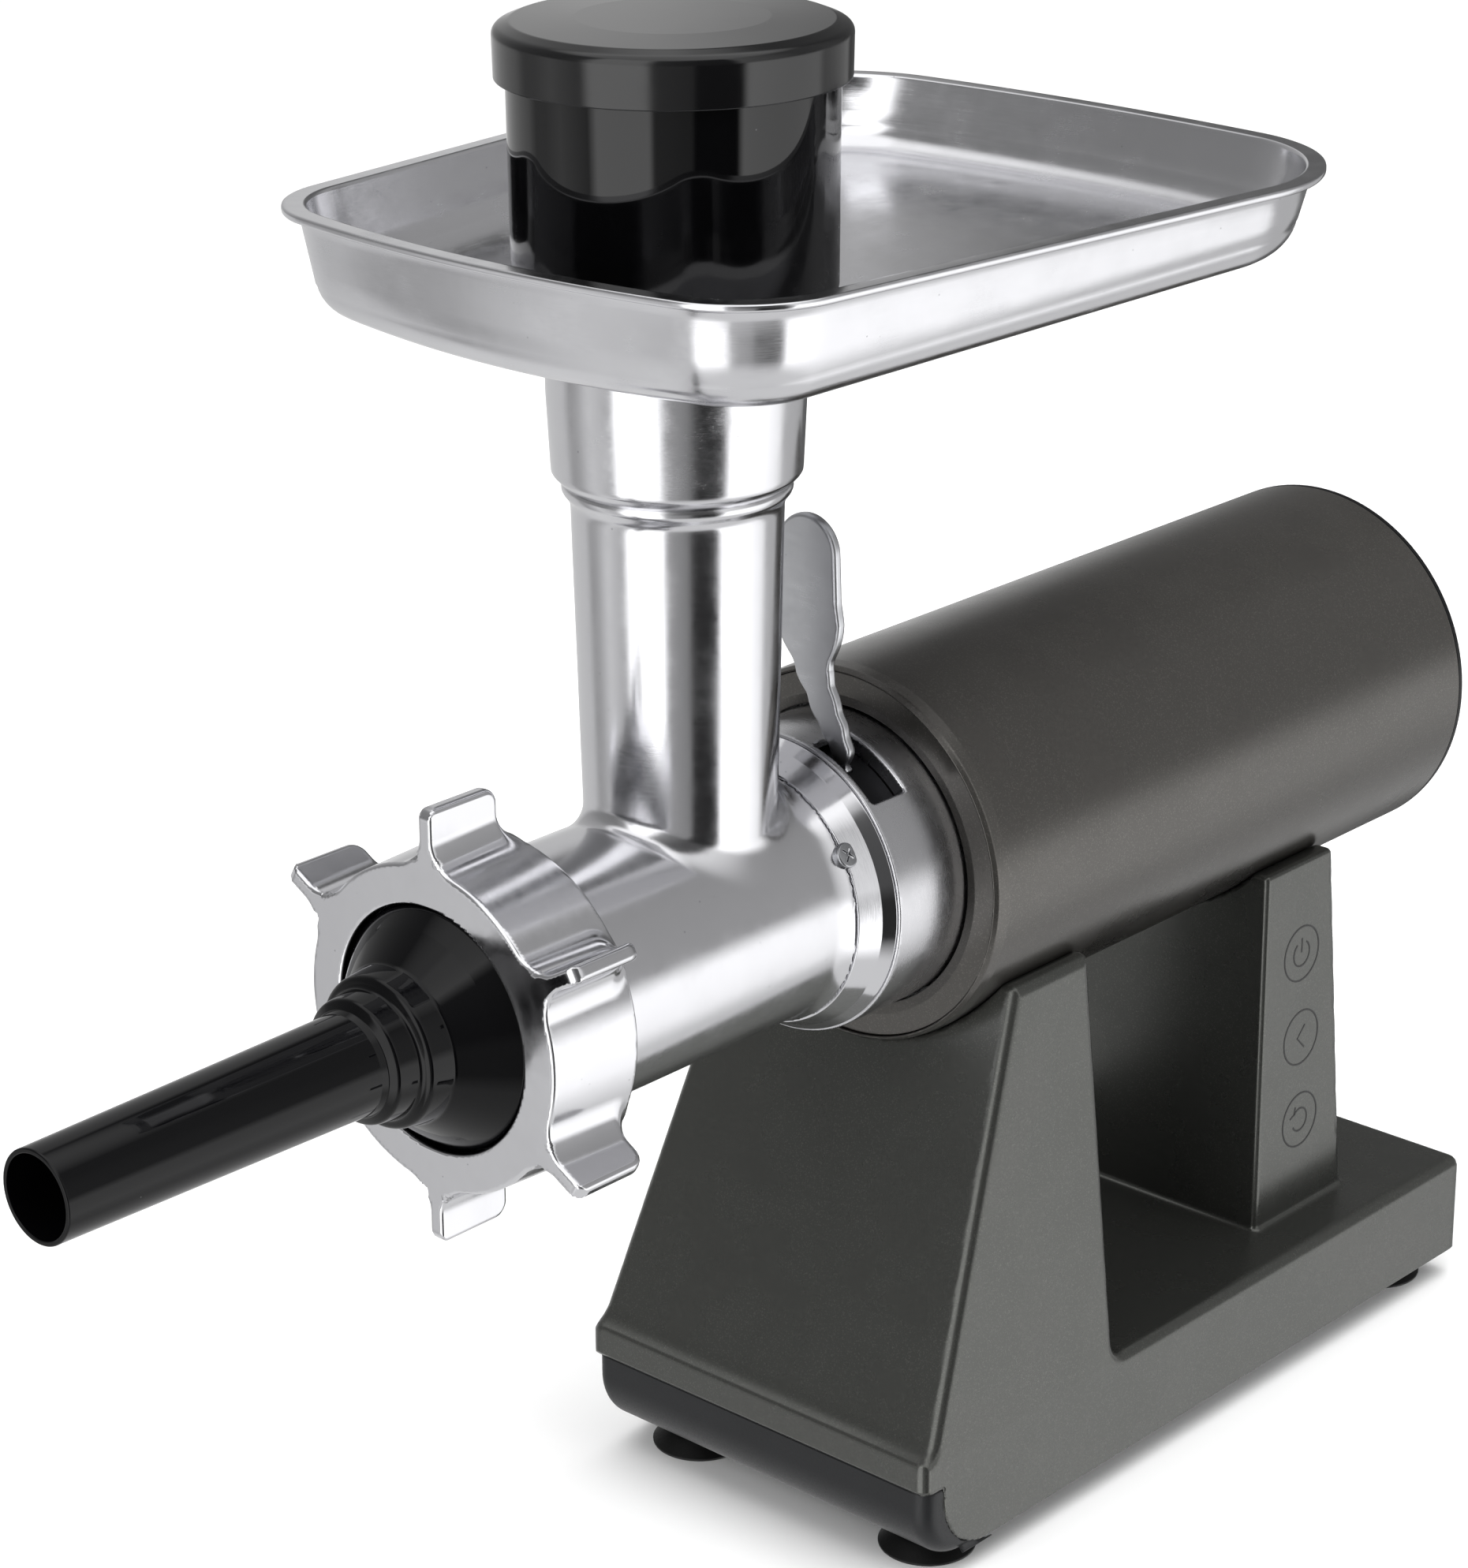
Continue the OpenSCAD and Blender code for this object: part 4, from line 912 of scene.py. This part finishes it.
def tray_piece():
    rings = []
    outer = tray_outline(0)

    def level(y, raise_by):
        return FLOOR_Z + raise_by + (y - TRAY_FRONT) * TILT

    def shape_ring(inset, raise_by=None, z=None):
        rings.append([(x, y, z if raise_by is None else level(y, raise_by)) for x, y in tray_outline(inset)])

    def mixed_ring(inset, share, raise_by):
        """Between the tilted floor level and the flat rim."""
        rings.append([(x, y, level(y, raise_by) * (1 - share) + (RIM_Z - 2.6) * share)
                      for x, y in tray_outline(inset)])

    def round_ring(radius, z=None, raise_by=0.0):
        ring = []
        for x, y in outer:
            length = math.hypot(x, y)
            cx, cy = x / length * radius, y / length * radius
            ring.append((cx, cy, level(cy, raise_by) if z is None else z))
        rings.append(ring)

    # neck, from its foot up to the underside of the floor
    for radius, z in ((27.1, 307.7), (28.3, 307.6), (28.7, 307.75), (31.1, 310.4), (31.4, 310.9),
                      (31.5, 312.0), (32.4, 331.0), (32.5, 343.0)):
        round_ring(radius, z)
    for k in range(0, 7):
        t = math.radians(90 * k / 6)
        round_ring(32.6 + 3.5 * (1 - math.cos(t)), raise_by=-3.5 + 3.5 * math.sin(t))
    round_ring(38, raise_by=0)
    shape_ring(24, 0)
    shape_ring(17.5, 0)
    # rounded foot of the wall
    foot = 10.0
    for k in range(0, 11):
        t = math.radians(82 * k / 10)
        shape_ring(6.6 + foot - foot * math.sin(t), foot - foot * math.cos(t))
    for share in (0.03, 0.3, 0.6, 0.85):
        mixed_ring(6.5 - 2.9 * share, share, foot - foot * math.cos(math.radians(82)))
    # small cove under the flange, then the flange itself
    for inset, drop in ((3.5, 3.1), (3.1, 2.5), (2.2, 2.15), (0.8, 2.0), (0.35, 1.9), (0.05, 1.5),
                        (0.0, 1.1), (0.0, 0.5), (0.12, 0.15), (0.5, 0), (1.0, 0), (4.3, 0), (4.8, 0.05),
                        (5.1, 0.4), (5.2, 1.0)):
        shape_ring(inset, z=RIM_Z - drop)
    inner = 8.0
    for share in (0.85, 0.6, 0.3, 0.03):
        mixed_ring(8.6 - 3.2 * share, share, SHEET + inner - inner * math.cos(math.radians(80)))
    for k in range(10, -1, -1):
        t = math.radians(80 * k / 10)
        shape_ring(8.7 + inner - inner * math.sin(t), SHEET + inner - inner * math.cos(t))
    shape_ring(18.5, SHEET)
    shape_ring(26, SHEET)
    # the floor's hole with its rounded edge, then the step that sits on the feed tube
    for radius, rise in ((30, SHEET), (23.4, SHEET), (22.6, 2.1), (22.1, 1.5), (22.0, 0.8)):
        round_ring(radius, raise_by=rise)
    for radius, z in ((22.0, 332.0), (22.2, 331.4), (26.6, 331.3), (27.1, 330.9)):
        round_ring(radius, z)
    count = len(outer)
    points = [(x * MM, (y + FEED_Y) * MM, z * MM) for ring in rings for x, y, z in ring]
    faces = []
    for i in range(len(rings)):
        j = (i + 1) % len(rings)
        for k in range(count):
            m = (k + 1) % count
            faces.append((i * count + k, i * count + m, j * count + m, j * count + k))
    mesh = bpy.data.meshes.new("hopper_tray_skin")
    mesh.from_pydata(points, [], faces)
    piece = new_object("hopper_tray_skin", mesh, TRAY_METAL)
    return outward(piece, 50)


tray = tray_piece()
settle(tray, "tray", "tray_aluminium", "hopper_tray")

# ---- stand ----

PLATE_Z, EDGE_Z = 39.4, 31.0
LEG_HALF, REAR_HALF = 49.3, 44.7
LEG_TOP_Y, LEG_REAR_Y = 41.2, 73.0
POST_FRONT_Y, POST_FOOT_Y, POST_TOP_Y, POST_TOP_Z = 162.2, 206.6, 194.5, 152.0
PANEL_Y, PANEL_ROUND = BASE_FRONT + 8, 19.0


def line_side(p, first, second):
    """Signed distance from a slanted plane through two (across, height) points, positive on its right."""
    (a0, z0), (a1, z1) = first, second
    length = math.hypot(a1 - a0, z1 - z0)
    return (p[0] - a0) * (z1 - z0) / length - (p[1] - z0) * (a1 - a0) / length


def stand_solid(p):
    x, y, z = np.abs(p[:, 0]), p[:, 1], p[:, 2]
    front = -line_side((y, z), (BASE_FRONT, EDGE_Z), (LEG_TOP_Y, LEG_TOP))
    leg = common(common(front, y - LEG_REAR_Y, 1.6), z - LEG_TOP, 1.4)
    plate = common(z - PLATE_Z, y - BASE_REAR, 3.0)
    outline = np.maximum(joined(leg, plate, 5.0), BASE_FRONT - y)
    sides = np.maximum(line_side((x, z), (BASE_W, PLATE_Z), (LEG_HALF, LEG_TOP)), x - BASE_W)
    whole = common(outline, sides, 3.4)
    post = common(x - REAR_HALF, POST_FRONT_Y - y, 2.0)
    post = common(post, line_side((y, z), (POST_FOOT_Y, PLATE_Z), (POST_TOP_Y, POST_TOP_Z)), 1.6)
    post = common(post, z - POST_TOP_Z, 1.4)
    whole = joined(whole, post, 1.6)
    whole = common(whole, HOUSING_R + 0.1 - radial(p), 0.8)
    # below the painted front, the side panels start further back, in a large round
    panel = np.minimum(EDGE_Z - z, common(PANEL_Y - y, SKIRT_Z - z, PANEL_ROUND))
    return common(whole, panel, 0.5)


stand = dressed("stand_skin", merged_copy("stand_shell"), stand_solid, 1.5, 3.0, PAINT_STAND, 8, 2)
settle(stand, "stand", "stand_paint", "stand_shell")

COVER_Z = low("bottom_cover", 2)
NOSE_Y = low("bottom_cover", 1)
COVER_HALF = high("bottom_cover", 0)
NOSE_ROUND, NOSE_EDGE = 17.0, 5.0


def cover_solid(p):
    nose = common(NOSE_Y - p[:, 1], COVER_Z - p[:, 2], NOSE_ROUND)
    nose = common(nose, np.abs(p[:, 0]) - COVER_HALF, NOSE_EDGE)
    return common(nose, p[:, 2] - high("bottom_cover", 2), 0.4)


cover = dressed("bottom_cover_skin", merged_copy("bottom_cover"), cover_solid, 1.2, 1.4, COVER_BLACK, 8, 2)
settle(cover, "stand", "satin_black", "bottom_cover")

# ---- what repeats: feet and screws ----


def placing_tree():
    """Geometry nodes that put a copy of one made piece at every point of a mesh."""
    tree, given = geometry_tree("place_copies", "Placed", (
        ("Places", "Geometry"), ("Piece", "Object"), ("Finish", "Material")))
    source = add(tree, "GeometryNodeObjectInfo", links={"Object": given.outputs["Piece"]})
    copies = add(tree, "GeometryNodeInstanceOnPoints", links={"Points": given.outputs["Places"],
                                                              "Instance": source.outputs["Geometry"]})
    return finished(tree, given, copies.outputs[0])


PLACING = placing_tree()


def copies_at(name, source, places, material):
    """Copies of a piece made about the origin, one at each place in mm."""
    mesh = bpy.data.meshes.new(name + "_places")
    mesh.from_pydata([tuple(c * MM for c in place) for place in places], [], [])
    made = made_by(PLACING, name, mesh, {"Piece": source, "Finish": material}, material)
    bpy.data.objects.remove(source)
    made.data.shade_smooth()
    made.data.set_sharp_from_angle(angle=math.radians(38))
    return made


foot_r = 13.6
foot_x = (low("suction_feet", 0) + foot_r) * -1
foot_places = [(side * foot_x, y, 0) for side in (-1, 1)
               for y in (low("suction_feet", 1) + foot_r, high("suction_feet", 1) - foot_r)]
foot = turned_piece("foot_pattern", [
    (0, 3.4, 0), (6.4, 3.0, 1.5), (11.3, 0.0, 0.4), (13.5, 0.0, 0.25), (foot_r, 0.7, 0.3), (9.6, 4.2, 3),
    (7.4, 5.6, 1), (7.0, 6.9, 0.4), (2.5, 6.9, 0), (2.5, 16, 0.4), (0, 16, 0)], "O", RUBBER, 72)
feet = copies_at("suction_feet_skin", foot, foot_places, RUBBER)
settle(feet, "stand", "foot_rubber", "suction_feet")


def screw_head(name, radius, height, cross, material):
    """A pan head with a cross recess, its top facing +Y, made about the origin."""
    def solid(p):
        flat = np.hypot(p[:, 0], p[:, 2])
        body = common(flat - radius, p[:, 1] - (height - 0.035 * flat ** 2), height * 0.45)
        arms = np.minimum(common(np.abs(p[:, 0]) - cross * 0.2, np.abs(p[:, 2]) - cross, 0.2),
                          common(np.abs(p[:, 2]) - cross * 0.2, np.abs(p[:, 0]) - cross, 0.2))
        recess = np.maximum(arms + (height - p[:, 1]) * 0.25, height * 0.4 - p[:, 1])
        return np.maximum(common(body, -recess, 0.12), -0.2 - p[:, 1])
    seed = block_mesh((-radius, -0.2, -radius), (radius, height, radius))
    return dressed(name, seed, solid, 0.16, 3.0, material, 12, 2)


screw_way = math.radians(30.7)
screw_r, screw_top, cross_foot = 3.45, 37.15, 35.9
screw_y = (low("locating_screw", 1) + high("locating_screw", 1)) / 2


def locating_solid(p):
    up = p[:, 2] - AXIS_Z
    out = p[:, 0] * math.cos(screw_way) + up * math.sin(screw_way)
    side = up * math.cos(screw_way) - p[:, 0] * math.sin(screw_way)
    along = p[:, 1] - screw_y
    flat = np.hypot(side, along)
    head_top = screw_top - 0.03 * flat ** 2
    head = common(flat - screw_r, out - head_top, 0.6)
    arms = np.minimum(common(np.abs(side + along) - 0.55, np.abs(side - along) - 2.9, 0.2),
                      common(np.abs(side - along) - 0.55, np.abs(side + along) - 2.9, 0.2)) * 0.707
    return common(head, -np.maximum(arms, cross_foot - out), 0.12)


locator = dressed("locating_screw_skin", merged_copy("locating_screw"), locating_solid, 0.16, 0.9,
                  SCREW_STEEL, 8, 2)
settle(locator, "head", "zinc_steel", "locating_screw")

shank_length = 12.2
cap_r, cap_y = 36.0, low("rear_cap_screws", 1) + shank_length
cap_places = [(cap_r * math.sin(a), cap_y, AXIS_Z + cap_r * math.cos(a)) for a in
              (math.radians(120 * k) for k in range(3))]
cap_screw = screw_head("cap_screw", 3.0, 1.5, 1.9, SCREW_STEEL)
cap_heads = copies_at("rear_cap_screw_heads", cap_screw, cap_places, SCREW_STEEL)
settle(cap_heads, "stand", "zinc_steel", "rear_cap_screws")

# ---- touch keys: printed rings with plain signs, on the rear leg's side ----


def arc_line(y, z, radius, start, finish, count=32):
    angles = [math.radians(start + (finish - start) * k / count) for k in range(count + 1)]
    return [(y + radius * math.cos(a), z + radius * math.sin(a)) for a in angles]


def inked_strokes(name, strokes, width, face_x):
    """Flat printed lines along strokes of (y, z) points, standing a little off the face at face_x."""
    points, faces = [], []
    for stroke in strokes:
        base = len(points)
        line = np.array(stroke, float)
        run = np.gradient(line, axis=0)
        run /= np.linalg.norm(run, axis=1)[:, None]
        side = np.stack([-run[:, 1], run[:, 0]], 1) * width / 2
        for (y, z), (dy, dz) in zip(line, side):
            for x, way in ((-0.05, 1), (0.08, 1), (0.08, -1), (-0.05, -1)):
                points.append(((face_x + x) * MM, (y + way * dy) * MM, (z + way * dz) * MM))
        last = base + 4 * (len(line) - 1)
        for k in range(base, last, 4):
            faces += [(k + i, k + (i + 1) % 4, k + 4 + (i + 1) % 4, k + 4 + i) for i in range(4)]
        faces += [(base, base + 1, base + 2, base + 3), (last + 3, last + 2, last + 1, last)]
    mesh = bpy.data.meshes.new(name)
    mesh.from_pydata(points, [], faces)
    return outward(new_object(name, mesh, KEY_INK))


KEY_PLACES = ((183.2, 68.7), (182.1, 95.7), (180.7, 122.9))
KEY_RING_R = 8.5
key_strokes = []
for key, (y, z) in enumerate(KEY_PLACES):
    key_strokes.append(arc_line(y, z, KEY_RING_R, 0, 360, 72))
    if key == 0:      # turn back: an open circle with a barb
        key_strokes.append(arc_line(y, z, 3.6, 140, -150))
        key_strokes.append([(y - 4.9, z + 1.5), (y - 2.9, z + 2.3), (y - 2.3, z + 4.6)])
    elif key == 1:    # half pace: a single chevron
        key_strokes.append([(y + 1.8, z - 3.6), (y - 1.8, z), (y + 1.8, z + 3.6)])
    else:             # power
        key_strokes.append(arc_line(y, z, 3.9, 125, 415))
        key_strokes.append([(y, z + 0.4), (y, z + 2.4), (y, z + 4.8)])
keys = inked_strokes("touch_key_print", key_strokes, 0.55, REAR_HALF)
settle(keys, "stand", "component_black")

bpy.context.view_layer.update()
